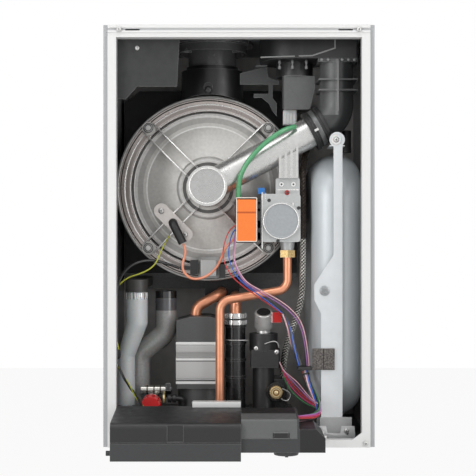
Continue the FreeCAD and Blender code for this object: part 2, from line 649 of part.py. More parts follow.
def exchanger_shell():
    body = new_body("exchanger_shell")
    inner = "drum_radius - drum_wall"
    seat = "drum_length + rim_sheet"
    turn_profile(body, [[("0", "0"), ("drum_radius", "0"), ("drum_radius", "drum_length"),
                         ("rim_radius", "drum_length"), ("rim_radius", "drum_length + rim_lip"),
                         ("rim_radius - rim_wall", "drum_length + rim_lip"),
                         ("rim_radius - rim_wall", seat), (inner, seat), (inner, "drum_wall"),
                         ("0", "drum_wall")]])
    soften(body, "rim_wall / 3", lambda edge: isinstance(edge.Curve, Part.Circle)
           and abs(edge.Curve.Center.z - size("drum_length + rim_lip")) < size("seat_gap"))
    return node("exchanger_shell", at_drum(body))


def front_plate():
    body = new_body("front_plate")
    low = "drum_length + rim_sheet"
    top = f"{low} + plate_wall"
    outer = "rim_radius - rim_wall - seat_gap"
    turn_profile(body, [[("plate_inner", low), ("plate_inner", top), ("bead_radius", top),
                         ("bead_radius", f"{top} + bead_height"),
                         ("bead_radius + bead_width", f"{top} + bead_height"),
                         ("bead_radius + bead_width", f"{top} - plate_groove"),
                         (outer, f"{top} - plate_groove"), (outer, low)]])
    pocket(body, "XY", [["ring", f"bolt_circle * {along_x}", f"bolt_circle * {along_y}",
                         "bolt_radius + seat_gap"]
                        for along_x, along_y in ((1, 0), (0, 1), (-1, 0), (0, -1))],
           f"{top} + bead_height + overrun", "plate_wall + bead_height + 2 * overrun")
    return node("front_plate", at_drum(body, 45))


def burner_door():
    body = new_body("burner_door")
    seat = "drum_length + rim_sheet"
    turn_profile(body, [[("door_bore", f"{seat} + seat_rise"), ("seat_radius", f"{seat} + seat_rise"),
                         ("dish_radius", f"{seat} + dish_rise"),
                         ("shoulder_radius", f"{seat} + door_edge + shoulder_rise"),
                         ("door_radius", f"{seat} + door_edge"), ("door_radius", seat),
                         ("shoulder_radius", seat),
                         ("dish_radius", f"{seat} + dish_rise - door_wall"),
                         ("seat_radius", f"{seat} + seat_rise - door_wall"),
                         ("door_bore", f"{seat} + seat_rise - door_wall")]])
    ribs = []
    for side in (-1, 1):
        inside = "(hub_outer + seat_gap)"
        end = "(bolt_circle + lug_radius / 3)"
        ribs.append(pad(body, "XZ", [[(inside, f"{seat} + seat_rise - door_wall / 2"),
                                      (inside, f"{seat} + rib_top"), (end, f"{seat} + rib_end"),
                                      (end, f"{seat} + rib_foot"),
                                      ("shoulder_radius", f"{seat} + rib_foot"),
                                      ("dish_radius", f"{seat} + dish_rise - door_wall / 2")]],
                        f"{side} * arm_spread - rib_wall / 2", "rib_wall"))
    lug = pad(body, "XY", [["ring", "bolt_circle", "0", "lug_radius"]],
              f"{seat} + rib_foot", "lug_height")
    pillar = pad(body, "XY", [["ring", "bolt_circle", "0", "nut_radius"]],
                 f"{seat} + plate_wall + bead_height + seat_gap", "rib_foot + lug_height / 2 - plate_wall - bead_height")
    polar(body, [*ribs, lug, pillar], 4)
    pad(body, "XY", [rectangle("-(boss_distance + boss_radius)", "-(boss_half + boss_radius)",
                               "-(boss_distance - boss_radius)", "boss_half + boss_radius",
                               "boss_radius * round_share")],
        f"{seat} + dish_rise / 2", "boss_top - dish_rise / 2")
    pocket(body, "XY", [rectangle("-(boss_distance + boss_radius + seat_gap)",
                                  "-(boss_half + boss_radius + seat_gap)",
                                  "-(boss_distance - boss_radius - seat_gap)",
                                  "boss_half + boss_radius + seat_gap",
                                  "boss_radius * round_share")],
           f"{seat} + rib_top", "rib_top - boss_top")
    holes = [["ring", f"bolt_circle * {along_x}", f"bolt_circle * {along_y}",
              "bolt_radius + seat_gap"]
             for along_x, along_y in ((1, 0), (0, 1), (-1, 0), (0, -1))]
    holes += [["ring", "-boss_distance", f"{side} * electrode_spread",
               "electrode_radius + seat_gap"] for side in (-1, 1)]
    holes += [["ring", "-boss_distance", f"{side} * boss_half", "screw_radius + seat_gap"]
              for side in (-1, 1)]
    pocket(body, "XY", holes, f"{seat} + rib_top + overrun", "rib_top + 2 * overrun")
    return node("burner_door", at_drum(body, 45))


def burner_tube():
    body = new_body("burner_tube")
    top = "drum_length + rim_sheet + seat_rise - door_wall - seat_gap"
    low = f"{top} - burner_length"
    flange = "(burner_radius + door_wall)"
    turn_profile(body, [[("0", low), ("burner_radius", low), ("burner_radius", f"{top} - burner_wall"),
                         (flange, f"{top} - burner_wall"), (flange, top),
                         ("burner_radius - burner_wall", top),
                         ("burner_radius - burner_wall", f"{low} + burner_wall"),
                         ("0", f"{low} + burner_wall")]])
    return node("burner_tube", at_drum(body))


def heating_coil():
    """A coil wound just inside the drum, each half turn one tilted arc, with its header."""
    tube = size("coil_tube")
    pitch = size("coil_pitch")
    low = size("drum_wall + coil_tube + coil_lift")
    reach = size("drum_radius - drum_wall - coil_tube - seat_gap")
    turns = int((size("drum_length - coil_tube") - low) / pitch)
    tilted = math.hypot(reach, pitch / 4)
    arcs = []
    for half in range(2 * turns):
        side = 1 if half % 2 == 0 else -1
        base = low + half * pitch / 2
        arcs.append(Part.Arc(FreeCAD.Vector(side * reach, 0, base),
                             FreeCAD.Vector(0, side * tilted, base + pitch / 4),
                             FreeCAD.Vector(-side * reach, 0, base + pitch / 2)).toShape())
    print(f"heating coil: {turns} turns, least gap between turns {pitch - 2 * tube:.2f}, "
          f"gap to the drum {size('drum_radius - drum_wall') - tilted - tube:.2f}")
    winding = Part.Wire(arcs)
    hollow_tube = swept(winding, tube).cut(swept(winding, tube - size("pipe_wall")))
    coil = at_drum(free_form(hollow_tube))
    box = block(("-header_right", "-(header_depth + header_width)", "-(drum_drop + header_drop)"),
                ("header_left", "-header_depth", "-(drum_drop + drum_radius / 2)"))
    hollow = block(("-header_right + header_wall", "-(header_depth + header_width - header_wall)",
                    "-(drum_drop + header_drop - header_wall)"),
                   ("header_left - header_wall", "-(header_depth + header_wall)",
                    "-(drum_drop + drum_radius / 3)"))
    drum = rod("drum_radius + seat_gap", "drum_length", "-drum_x", "-housing_depth", "-drum_drop",
               FORWARD)
    mouth = "-(header_depth + header_width + overrun)"
    reach_in = "header_wall + 2 * overrun"
    flow = rod("flow_radius + seat_gap", reach_in, "-column_x",
               f"{mouth} + {reach_in}", "-flow_turn", FORWARD)
    back = rod("return_radius + seat_gap", reach_in, "-return_enter_x",
               f"{mouth} + {reach_in}", "-return_enter", FORWARD)
    return node("heating_coil", group(coil, cut(box, hollow, drum, flow, back)))


def ignition_electrodes():
    seat = "drum_length + rim_sheet + boss_top"
    body = new_body("electrode plate")
    pad(body, "XY", [rectangle("-(boss_distance + boss_radius)", "-(boss_half + boss_radius)",
                               "-(boss_distance - boss_radius)", "boss_half + boss_radius",
                               "boss_radius * round_share")], seat, "electrode_plate")
    pad(body, "XY", [["ring", "-boss_distance", "0", "collar_radius"]],
        f"{seat} + electrode_plate", "collar_height")
    pocket(body, "XY", [["ring", "-boss_distance", f"{side} * boss_half",
                         "screw_radius + seat_gap"] for side in (-1, 1)],
           f"{seat} + electrode_plate + overrun", "electrode_plate + 2 * overrun")
    pad(body, "XY", [["ring", "-boss_distance", f"{side} * electrode_spread", "electrode_radius"]
                     for side in (-1, 1)], f"{seat} - electrode_reach", "electrode_reach")
    return node("ignition_electrodes", at_drum(body, 45))


def electrode_seat():
    """Place of the middle of the electrode plate, in the boiler's frame."""
    reach = "boss_distance * cos(45)"
    return (f"-(drum_x + {reach})",
            "housing_depth + drum_length + rim_sheet + boss_top + electrode_plate + collar_height",
            f"drum_drop + {reach}")


def electrode_boot():
    x, depth, drop = electrode_seat()
    start = vector(x, f"-({depth})", f"-({drop})")
    rise = FreeCAD.Vector(0, -size("boot_rise"), 0)
    fall = FreeCAD.Vector(size("boot_right"), 0, -size("boot_down"))
    path, radii = bent_path([start, start + rise, start + rise + fall], size("boot_rise / 2"))
    return node("electrode_boot", free_form(swept(path, size("boot_radius"))))


def limit_thermostat():
    """A folded bracket on the drum's front plate, with the thermostat and its plug."""
    body = new_body("bracket")
    ring = "housing_depth + drum_length + rim_sheet + plate_wall + bead_height + seat_gap"
    back = "housing_depth + drum_length + rim_sheet + door_edge + shoulder_rise + seat_gap"
    left = "-(drum_x + stat_right)"
    low = "-(drum_drop + stat_low + stat_height / 2)"
    pad(body, "XZ", [rectangle(left, low, f"{left} + stat_width", f"{low} + stat_height",
                               "stat_foot")], back, "stat_wall")
    pad(body, "XZ", [rectangle(f"{left} + stat_foot", f"{low} + stat_foot",
                               f"{left} + stat_width - stat_foot", f"{low} + stat_height - stat_foot")],
        f"{back} + stat_wall", "stat_depth - stat_wall")
    pad(body, "XZ", [rectangle(left, f"{low} + stat_foot", f"{left} + stat_width",
                               "-(drum_drop + plate_inner + 2 * seat_gap)")],
        ring, f"{back} - ({ring})")
    plug = block(("-plug_right", "-(plug_depth + plug_thick)", "-plug_low"),
                 (f"{left} - seat_gap", "-plug_depth", "-plug_high"))
    arm = block(("-plug_left", "-(plug_depth + 3 * plug_thick / 4)", "-plug_arm_low"),
                ("-plug_right", "-(plug_depth + plug_thick / 4)", "-plug_arm_high"))
    side = block((f"{left} + stat_width + seat_gap", "-(plug_depth + plug_thick)", "-side_low"),
                 (f"{left} + stat_width + seat_gap + side_width", "-plug_depth", "-side_high"))
    return node("limit_thermostat", group(body, fuse(plug, arm), side))


# Flue
def flue_collector():
    """The black duct from the drum up to the flue socket, saddled on the drum."""
    top = "case_top - flue_neck"
    outer = rod("flue_socket", f"flue_socket_top + drum_drop - drum_radius / 2",
                "-flue_x", "-flue_depth", "-(drum_drop - drum_radius / 2)")
    neck = rod("flue_pipe + 2 * flue_wall + seat_gap", f"{top} - flue_socket_top", "-flue_x",
               "-flue_depth", "flue_socket_top")
    bore = rod("flue_socket - 2 * flue_wall", "flue_socket_top - flue_wall + drum_drop",
               "-flue_x", "-flue_depth", "-drum_drop")
    neck_bore = rod("flue_pipe + flue_wall + seat_gap", f"{top} + overrun", "-flue_x",
                    "-flue_depth", "0")
    drum = rod("drum_radius + seat_gap", "drum_length", "-drum_x", "-housing_depth", "-drum_drop",
               FORWARD)
    rim = rod("rim_radius + seat_gap", "rim_lip + flue_socket", "-drum_x",
              "-(housing_depth + drum_length - seat_gap)", "-drum_drop", FORWARD)
    housing = block(("-(flue_x + flue_socket)", "-(housing_depth + seat_gap)", "-drum_drop"),
                    ("flue_socket - flue_x", "0", "flue_socket_top - seat_gap"))
    port = rod("port_radius", "flue_socket + port_rise", "-(flue_x + port_left)", "-flue_depth",
               "-port_drop", FORWARD)
    saddle = cut(fuse(outer, neck, port), bore, neck_bore, drum, rim, housing)
    return node("flue_collector", saddle)


def flue_terminal():
    """Concentric socket: flue pipe inside, air ring round it, held by three webs."""
    body = new_body("flue ring")
    low = "(case_top - flue_neck + seat_gap)"
    top = "case_top + flue_stand"
    inner = "flue_pipe"
    ledge = "case_top - sheet_wall - collar_rise - seat_gap"
    turn_profile(body, [[(f"{inner}", low), (f"{inner}", top), (f"{inner} + flue_wall", top),
                         (f"{inner} + flue_wall", low)]])
    collar = new_body("air collar")
    turn_profile(collar, [[("air_radius - flue_wall", f"{ledge} - collar_low"),
                           ("air_radius - flue_wall", top), ("air_radius", top),
                           ("air_radius", "case_top + tail_relief / 2"),
                           ("air_radius - relief_cut", "case_top + tail_relief / 2"),
                           ("air_radius - relief_cut", f"{ledge} + collar_rise"),
                           ("collar_outer", f"{ledge} + collar_rise"), ("collar_outer", ledge),
                           ("air_radius", ledge), ("air_radius", f"{ledge} - collar_low")]])
    webs = []
    for turn in (90, 210, 330):
        web = block((f"{inner} + flue_wall / 2", "-flue_web / 2", f"{ledge} - collar_low"),
                    ("air_radius - flue_wall / 2", "flue_web / 2", f"{ledge} + collar_rise"))
        spun = document.addObject("Part::Compound", "web")
        spun.Links = [web]
        spun.Placement = FreeCAD.Placement(
            FreeCAD.Vector(), FreeCAD.Rotation(FreeCAD.Vector(0, 0, 1), turn))
        webs.append(spun)
    whole = fuse(body, collar, *webs)
    return node("flue_terminal", place(whole, "-flue_x", "-flue_depth"))


# Fan with a vertical shaft
def fan_outline(grow):
    """The scroll seen from above: a round chamber that runs out to the duct's mouth."""
    radius = f"(fan_radius + {grow})"
    right = f"duct_right + {grow}"
    return {"chamber": ["ring", "fan_x", "-fan_depth", radius],
            "duct": rectangle("fan_x", f"-(duct_front + {grow})", right,
                              f"-(duct_back - {grow})")}


def fan_scroll():
    body = new_body("fan_scroll")
    shapes = fan_outline("0")
    pad(body, "XY", [shapes["chamber"]], "fan_floor", "fan_height")
    pad(body, "XY", [shapes["duct"]], "fan_floor", "fan_height")
    soften(body, "fan_wall", lambda edge: along(edge, 0, 0, 1))
    hollow = fan_outline("-fan_wall")
    inside = "fan_height - 2 * fan_wall"
    pocket(body, "XY", [hollow["chamber"]], "fan_floor + fan_height - fan_wall", inside)
    pocket(body, "XY", [hollow["duct"]], "fan_floor + fan_height - fan_wall", inside)
    pocket(body, "XY", [["ring", "fan_x", "-fan_depth", "fan_eye"]],
           "fan_floor + fan_height + overrun", "fan_wall + 2 * overrun")
    pocket(body, "XY", [["ring", "fan_x", "-fan_depth", "shaft_radius + running_gap"],
                        ["ring", "elbow_x", "-elbow_depth", "elbow_radius - elbow_wall"]],
           "fan_floor + fan_wall + overrun", "fan_wall + 2 * overrun")
    return node("fan_scroll", body)


def fan_impeller():
    body = new_body("fan_impeller")
    floor = "fan_floor + fan_wall + running_gap"
    turn_profile(body, [[("0", f"{floor} - shaft_length"), ("shaft_radius", f"{floor} - shaft_length"),
                         ("shaft_radius", floor), ("wheel_radius", floor),
                         ("wheel_radius", f"{floor} + wheel_plate"),
                         ("hub_radius", f"{floor} + wheel_plate"),
                         ("hub_radius", f"{floor} + wheel_height / 2"),
                         ("0", f"{floor} + wheel_height / 2")]])
    blade = pad(body, "XY", [rectangle("blade_inner", "-blade_wall / 2", "wheel_radius",
                                       "blade_wall / 2")],
                f"{floor} + wheel_plate", "wheel_height - wheel_plate")
    polar(body, [blade], size_count("blades"))
    return node("fan_impeller", place(body, "fan_x", "-fan_depth"))


def size_count(name):
    return int(round(size(name)))


def fan_motor():
    """Motor cover under the scroll, narrower at its lower right."""
    body = new_body("fan_motor")
    left = "fan_x - motor_width / 2 + 2 * motor_taper / 3"
    pad(body, "XZ", [[(left, "-motor_low", "motor_taper / 3"),
                      (f"{left} + motor_width - motor_taper", "-motor_low", "motor_taper / 3"),
                      (f"{left} + motor_width", "-motor_low / 2"), (f"{left} + motor_width", "-motor_top"),
                      (left, "-motor_top")]],
        "fan_depth - motor_behind", "motor_ahead + motor_behind")
    pad(body, "XY", [["ring", "fan_x", "-(fan_depth + (motor_ahead - motor_behind) / 2)",
                      "motor_neck"]],
        "-motor_top", "motor_top + fan_floor")
    pocket(body, "XY", [["ring", "fan_x", "-fan_depth", "shaft_radius + fit_gap"]],
           "fan_floor + overrun", "shaft_length + 2 * overrun")
    return node("fan_motor", body)


def fan_support():
    body = new_body("fan_support")
    front = "housing_depth + drum_length + rim_lip"
    pad(body, "XZ", [[("support_left", "-support_waist"), ("support_left", "0"),
                      ("support_step", "support_top"),
                      ("support_step + overrun", "-support_mid / 2"),
                      ("support_right", "-support_mid"), ("support_right", "-support_waist"),
                      ("strip_right", "-support_waist"),
                      ("strip_right", "-(arm_top + arm_width)"),
                      ("arm_right", "-arm_bend"), ("arm_right", "-support_low"),
                      ("strip_right", "-(support_low - arm_slant)"),
                      ("strip_left", "-arm_bend"),
                      ("arm_mid", "-(arm_top + arm_width)"), ("arm_left", "-(arm_top + arm_width)"),
                      ("arm_left", "-arm_top"), ("strip_left", "-arm_top"),
                      ("strip_left", "-support_waist")]], front, "support_wall")
    pad(body, "XY", [rectangle("support_step - support_waist", f"-({front} + support_waist)",
                               "support_step", f"-({front})")],
        "support_top - support_wall", "support_wall")
    return node("fan_support", body)


def mixing_axis():
    """Ends of the slanted pipe's axis: on the hub's axis and under the elbow."""
    corner = vector("elbow_x", "-mixing_depth", "0")
    slope = math.radians(size("mixing_angle"))
    corner.z = -size("drum_drop") + (corner.x + size("drum_x")) * math.tan(slope)
    upward = FreeCAD.Vector(math.cos(slope), 0, math.sin(slope))
    return corner, upward


def on_slope(item, back_from_corner):
    """Lay a piece's Z axis along the slanted pipe, at a distance short of its corner."""
    corner, upward = mixing_axis()
    turn = FreeCAD.Rotation(FreeCAD.Vector(0, 1, 0), 90 - size("mixing_angle"))
    item.Placement = FreeCAD.Placement(corner - upward * size(back_from_corner), turn)
    for letter, text in (
            ("x", f"elbow_x - ({back_from_corner}) * cos(mixing_angle)"), ("y", "-mixing_depth"),
            ("z", f"(elbow_x + drum_x) * tan(mixing_angle) - drum_drop"
                  f" - ({back_from_corner}) * sin(mixing_angle)")):
        item.setExpression(f"Placement.Base.{letter}", bound(text))
    return item


def air_elbow():
    """Moulded elbow: flange and ribs round an upright pipe that turns into the coupling."""
    corner, upward = mixing_axis()
    top = vector("elbow_x", "-elbow_depth", "fan_floor")
    end = corner - upward * size("elbow_end")
    path, radii = bent_path([top, corner, end], size("elbow_bend"))
    body = swept(path, size("elbow_radius"))
    bore = swept(path, size("elbow_radius - elbow_wall"))
    flange = block(("elbow_x - flange_width / 2", "-(elbow_depth + flange_reach / 2)",
                    "fan_floor - flange_wall"),
                   ("elbow_x + flange_width / 2", "-(elbow_depth - flange_reach / 2)", "fan_floor"))
    ribs = []
    for index in range(2):
        drop = f"elbow_rib_first + {index} * elbow_rib_pitch"
        ribs.append(block(("elbow_x - elbow_rib", "-(elbow_depth + elbow_rib)",
                           f"-({drop}) - elbow_rib_wall / 2"),
                          ("elbow_x + elbow_rib", "-(elbow_depth - elbow_rib)",
                           f"-({drop}) + elbow_rib_wall / 2")))
    upright = block(("elbow_x - elbow_rib_wall / 2", "-(elbow_depth + elbow_rib)",
                     "-(elbow_rib_first + 3 * elbow_rib_pitch)"),
                    ("elbow_x + elbow_rib_wall / 2", "-elbow_depth", "fan_floor - flange_wall"))
    return node("air_elbow", cut(fuse(free_form(body), flange, upright, *ribs), free_form(bore)))


def rubber_coupling():
    """Ribbed rubber sleeve with a bead at each end, slipped over both pipes."""
    body = new_body("rubber_coupling")
    bore = "(elbow_radius + coupling_clear)"
    narrow = "(mixing_radius + coupling_clear)"
    length = "coupling_length"
    turn_profile(body, [[(narrow, "0"), ("coupling_bead", "0"), ("coupling_bead", "bead_length"),
                         ("coupling_radius", "bead_length"),
                         ("coupling_radius", f"{length} - bead_length"),
                         ("coupling_bead", f"{length} - bead_length"), ("coupling_bead", length),
                         (bore, length), (bore, f"{length} - coupling_lap"),
                         ("mixing_bore", f"{length} - coupling_lap"),
                         ("mixing_bore", "coupling_lap"), (narrow, "coupling_lap")]])
    soften(body, "bead_length / 4", lambda edge: isinstance(edge.Curve, Part.Circle)
           and abs(edge.Curve.Radius - size("coupling_bead")) < size("fit_gap"))
    return node("rubber_coupling",
                on_slope(body, "elbow_end - coupling_lap + coupling_clear + coupling_length"))


def mixing_head():
    """Cast hub on the burner door, its slanted pipe and the webs that carry the gas valve."""
    corner, upward = mixing_axis()
    seat = "housing_depth + drum_length + rim_sheet + seat_rise"
    hub = rod("hub_outer", f"hub_front - ({seat})", "-drum_x", f"-({seat})", "-drum_drop", FORWARD)
    gap = "elbow_end - 2 * coupling_lap + 2 * coupling_clear + coupling_length"
    reach = f"((elbow_x + drum_x) / cos(mixing_angle) - ({gap}))"
    tube = rod("mixing_radius", reach)
    on_slope(tube, f"(elbow_x + drum_x) / cos(mixing_angle)")
    bore = rod("mixing_bore", f"{reach} + overrun")
    on_slope(bore, f"(elbow_x + drum_x) / cos(mixing_angle)")
    hub_bore = rod("door_bore", f"hub_front - hub_wall - ({seat}) + overrun", "-drum_x",
                   f"-({seat}) + overrun", "-drum_drop", FORWARD)
    face = rod("hub_ring", "hub_ring_depth + overrun", "-drum_x",
               "-(hub_front - hub_ring_depth)", "-drum_drop", FORWARD)
    webs = [block((f"web_first + {index} * web_pitch", "-web_front", "-block_top"),
                  (f"web_first + {index} * web_pitch + web_wall", "-web_back", "-neck_top"))
            for index in range(size_count("web_count"))]
    webs.append(block(("web_first + web_wall / 2", "-neck_front", "-block_top"),
                      ("web_first + (web_count - 1) * web_pitch + web_wall / 2", "-web_back",
                       "-neck_top")))
    stub = rod("stub_radius", "hose_end_depth - mixing_depth", "hose_end_x",
               "-mixing_depth", "-hose_end_drop", FORWARD)
    trimmed = [cut(web, on_slope(rod("mixing_bore + seat_gap", f"{reach}"),
                                 f"(elbow_x + drum_x) / cos(mixing_angle)")) for web in webs]
    return node("mixing_head", cut(fuse(hub, tube, stub, *trimmed), bore, hub_bore, face))


# Gas line
def gas_valve():
    body = new_body("valve body")
    pad(body, "XZ", [rectangle("valve_left", "-valve_bottom", "valve_right", "-valve_top")],
        "valve_back", "valve_front - valve_back")
    soften(body, "valve_corner", lambda edge: along(edge, 0, 1, 0))
    pad(body, "XZ", [rectangle("block_left", "-(valve_top + valve_corner)", "block_right",
                               "-block_top", "valve_corner / 2")],
        "block_back", "block_front - block_back")
    pad(body, "XZ", [["ring", "cap_x", "-cap_low", "cap_radius"]], "valve_front", "cap_height")
    pocket(body, "XZ", [["ring", "cap_x", "-cap_low", "cap_disc"]],
           "valve_front + cap_height", "cap_height / 4")
    throat = cone("cone_bottom", "cone_top", "cone_height + valve_corner", "inlet_x",
                  "-inlet_depth", "-(valve_bottom + cone_height)")
    bore = rod("gas_pipe_radius - pipe_wall", "cone_height + 2 * valve_corner", "inlet_x",
               "-inlet_depth", "-(valve_bottom + cone_height + overrun)")
    return node("gas_valve", cut(fuse(body, throat), bore))


def igniter_case():
    body = new_body("case")
    pad(body, "XZ", [rectangle("-igniter_left", "-igniter_bottom", "igniter_right",
                               "-igniter_top", "igniter_corner")],
        "igniter_back", "igniter_front - igniter_back")
    barb = rod("stub_radius", "igniter_corner + barb_rise", "-barb_x", "-barb_depth",
               "-igniter_top - igniter_corner")
    return node("igniter_case", fuse(body, barb))


def igniter_frame():
    body = new_body("frame")
    gap = "seat_gap"
    pad(body, "XZ", [rectangle("-igniter_left - igniter_margin", "-igniter_bottom - igniter_margin",
                               "igniter_right + igniter_margin", "-igniter_top + igniter_margin",
                               "igniter_corner"),
                     rectangle(f"-igniter_left - {gap}", f"-igniter_bottom - {gap}",
                               f"igniter_right + {gap}", f"-igniter_top + {gap}",
                               "igniter_corner")],
        "igniter_back", "igniter_frame_depth")
    edge = "igniter_right + igniter_margin + seat_gap"
    socket = block(("igniter_right + seat_gap", "-socket_front", "-socket_low"),
                   ("valve_left - seat_gap", "-socket_back", "-socket_high"))
    plug = block((edge, "-blue_front", "-valve_top + running_gap"),
                 (f"{edge} + blue_width", "-socket_back", "-blue_high"))
    return node("igniter_frame", group(body, socket, plug))


def gas_pipe():
    start = "valve_bottom + cone_height + seat_gap"
    points = [vector("inlet_x", "-inlet_depth", f"-({start})"),
              vector("inlet_x", "-inlet_depth", "-gas_drop"),
              vector("-gas_cross_x", "-gas_front", "-gas_cross"),
              vector("-gas_cross_x", "-gas_front", "-gas_low"),
              vector("-gas_cross_x", "-gas_back", "-gas_back_low"),
              vector("-gas_cross_x", "-gas_back", "-tail_end")]
    bent = pipe(points, "gas_pipe_radius", "gas_bend", "gas_pipe_radius - pipe_wall")
    return node("gas_pipe", with_relief(bent, "gas_pipe_radius", "-gas_cross_x", "-gas_back"))


# Pump
def pump_middle():
    return "-(pump_left + pump_right) / 2", "(pump_back + pump_front) / 2"


def pump_cap():
    body = new_body("pump_cap")
    pad(body, "XZ", [[("-pump_left", "-pump_band_top"), ("-pump_left", "-pump_shoulder"),
                      ("-pump_ridge", "-pump_top"), ("-pump_flat", "-pump_top"),
                      ("-pump_right", "-pump_shoulder"),
                      ("-pump_right", "-pump_band_top")]],
        "pump_back", "pump_front - pump_back")
    soften(body, "pump_corner / 2", lambda edge: along(edge, 0, 0, 1))
    return node("pump_cap", body)


def pump_motor():
    """Aluminium body with turned-in grooves, bored for the wet rotor."""
    x, depth = pump_middle()
    body = new_body("pump_motor")
    top = "-pump_band_top"
    low = "-pump_band_bottom"
    front = "-pump_front"
    grooves = [("pump_rib", "pump_groove"), ("pump_groove_top", "pump_groove_height"),
               ("pump_band_bottom - pump_band_top - 3 * pump_rib", "pump_groove")]
    face = []
    for start, height in grooves:
        face += [(front, f"{top} - ({start})"), (f"{front} + pump_groove", f"{top} - ({start})"),
                 (f"{front} + pump_groove", f"{top} - ({start}) - {height}"),
                 (front, f"{top} - ({start}) - {height}")]
    pad(body, "YZ", [[(front, top), *face, (front, low), ("-pump_back", low), ("-pump_back", top)]],
        "-pump_left", "pump_left - pump_right")
    pocket(body, "XY", [["ring", x, f"-{depth}", "rotor_radius + running_gap"]],
           f"{low} + rotor_length", "rotor_length + overrun")
    return node("pump_motor", body)


def pump_volute():
    x, depth = pump_middle()
    body = new_body("pump_volute")
    top = "-pump_band_bottom"
    pad(body, "XY", [["ring", x, f"-{depth}", "volute_radius"]], "-volute_bottom",
        "volute_bottom - pump_band_bottom")
    pad(body, "XY", [rectangle("-pump_left", "-pump_front", "-pump_right", "-pump_back",
                               "pump_corner")], f"{top} - 2 * volute_wall", "2 * volute_wall")
    pocket(body, "XY", [["ring", x, f"-{depth}", "volute_radius - volute_wall"]],
           f"{top} - volute_wall", "2 * volute_wall + pump_wheel_height")
    pocket(body, "XY", [["ring", x, f"-{depth}", "rotor_radius + running_gap"]],
           f"{top} + overrun", "volute_wall + 2 * overrun")
    pocket(body, "XY", [["ring", x, f"-{depth}", "pump_eye"]],
           f"{top} - volute_wall", "volute_bottom - pump_band_bottom")
    return node("pump_volute", body)


def pump_impeller():
    x, depth = pump_middle()
    body = new_body("pump_impeller")
    top = "-pump_band_bottom - volute_wall - running_gap"
    turn_profile(body, [[("0", f"{top} - wheel_plate"), ("pump_wheel", f"{top} - wheel_plate"),
                         ("pump_wheel", top), ("pump_shaft", top),
                         ("pump_shaft", "-pump_band_bottom"), ("rotor_radius", "-pump_band_bottom"),
                         ("rotor_radius", "-pump_band_bottom + rotor_length - overrun"),
                         ("0", "-pump_band_bottom + rotor_length - overrun")]])
    blade = pad(body, "XY", [rectangle("pump_shaft", "-wheel_plate / 2", "pump_wheel",
                                       "wheel_plate / 2")],
                f"{top} - wheel_plate - pump_wheel_height + pump_blade",
                "pump_wheel_height - pump_blade")
    polar(body, [blade], size_count("pump_blades"))
    return node("pump_impeller", place(body, x, f"-{depth}"))


# Hydraulics
def diverter_place(drop):
    return "diverter_x", "-diverter_depth", f"-({drop})"


def drain_block():
    """Block beside the diverter that carries the drain and the vessel's hose."""
    body = new_body("drain block")
    pad(body, "XZ", [rectangle("drain_x + overrun - drain_ring / 2", "-volute_bottom",
                               "drain_x + drain_block", "-drain_low + drain_block",
                               "pump_corner")],
        "drain_back", "drain_face - drain_ring - drain_back")
    pad(body, "XZ", [["ring", "drain_x", "-drain_low", "drain_ring"]],
        "drain_back + drain_ring", "drain_face - drain_back - drain_ring")
    pocket(body, "XZ", [["ring", "drain_x", "-drain_low",
                         "drain_radius * round_share / 2 + seat_gap"]],
           "drain_face + overrun", "drain_stub + 2 * overrun")
    stub = rod("hose_stub", "drain_block + running_gap", "stub_x", "-stub_depth", "-drain_low")
    clear = rod("chamber_radius + volute_wall + seat_gap", "volute_bottom - diverter_top",
                *diverter_place("volute_bottom"))
    return cut(fuse(body, stub), clear)


def hydraulic_block():
    """One moulding: the base with its passages and the ribbed column that meets the flow pipe."""
    body = new_body("base")
    top = "-volute_bottom - seat_gap"
    pad(body, "XY", [rectangle("-base_left", "-base_front", "base_right", "-base_back",
                               "base_corner")], f"{top} - base_height", "base_height")
    gas = rod("gas_pipe_radius + seat_gap", "tail_end", "-gas_cross_x", "-gas_back", "-tail_end")
    gas_way = block(("-gas_cross_x - gas_pipe_radius - overrun", "-(base_front + overrun)",
                     f"{top} - base_height - overrun"),
                    ("-gas_cross_x + gas_pipe_radius + overrun",
                     "-(gas_back - gas_pipe_radius - overrun)", f"{top} + overrun"))
    column = rod("column_radius", "volute_bottom - column_top", "-column_x", "-column_depth",
                 "-volute_bottom - seat_gap")
    ribs = [rod("column_rib", "column_rib_height", "-column_x", "-column_depth",
                f"-(column_top + {index} * column_rib_pitch + column_rib_height)")
            for index in range(size_count("column_ribs"))]
    bore = rod("flow_radius", "volute_bottom - column_top + overrun", "-column_x",
               "-column_depth", "-volute_bottom")
    moulding = cut(fuse(body, column, *ribs), bore, gas_way, gas)
    return node("hydraulic_block", group(moulding, drain_block()))


def diverter_valve():
    body = new_body("diverter")
    pad(body, "XY", [["ring", "diverter_x", "-diverter_depth", "diverter_radius"]],
        "-diverter_flange_top - overrun", "diverter_flange_top + overrun - diverter_top")
    pad(body, "XY", [rectangle("diverter_flange_left", "-diverter_flange_front",
                               "diverter_flange_right", "-diverter_flange_back",
                               "pump_corner")],
        "-diverter_flange_bottom", "diverter_flange_bottom - diverter_flange_top")
    pad(body, "XY", [["ring", "diverter_x", "-diverter_depth", "chamber_radius + volute_wall"]],
        "-volute_bottom", "volute_bottom - diverter_flange_bottom")
    pocket(body, "XY", [["ring", "diverter_x", "-diverter_depth", "chamber_radius"]],
           "-volute_bottom + chamber_height", "chamber_height + overrun")
    pocket(body, "XY", [["ring", "diverter_x", "-diverter_depth", "stem_radius + fit_gap"]],
           "-diverter_top + overrun", "volute_bottom - diverter_top + 2 * overrun")
    return node("diverter_valve", body)


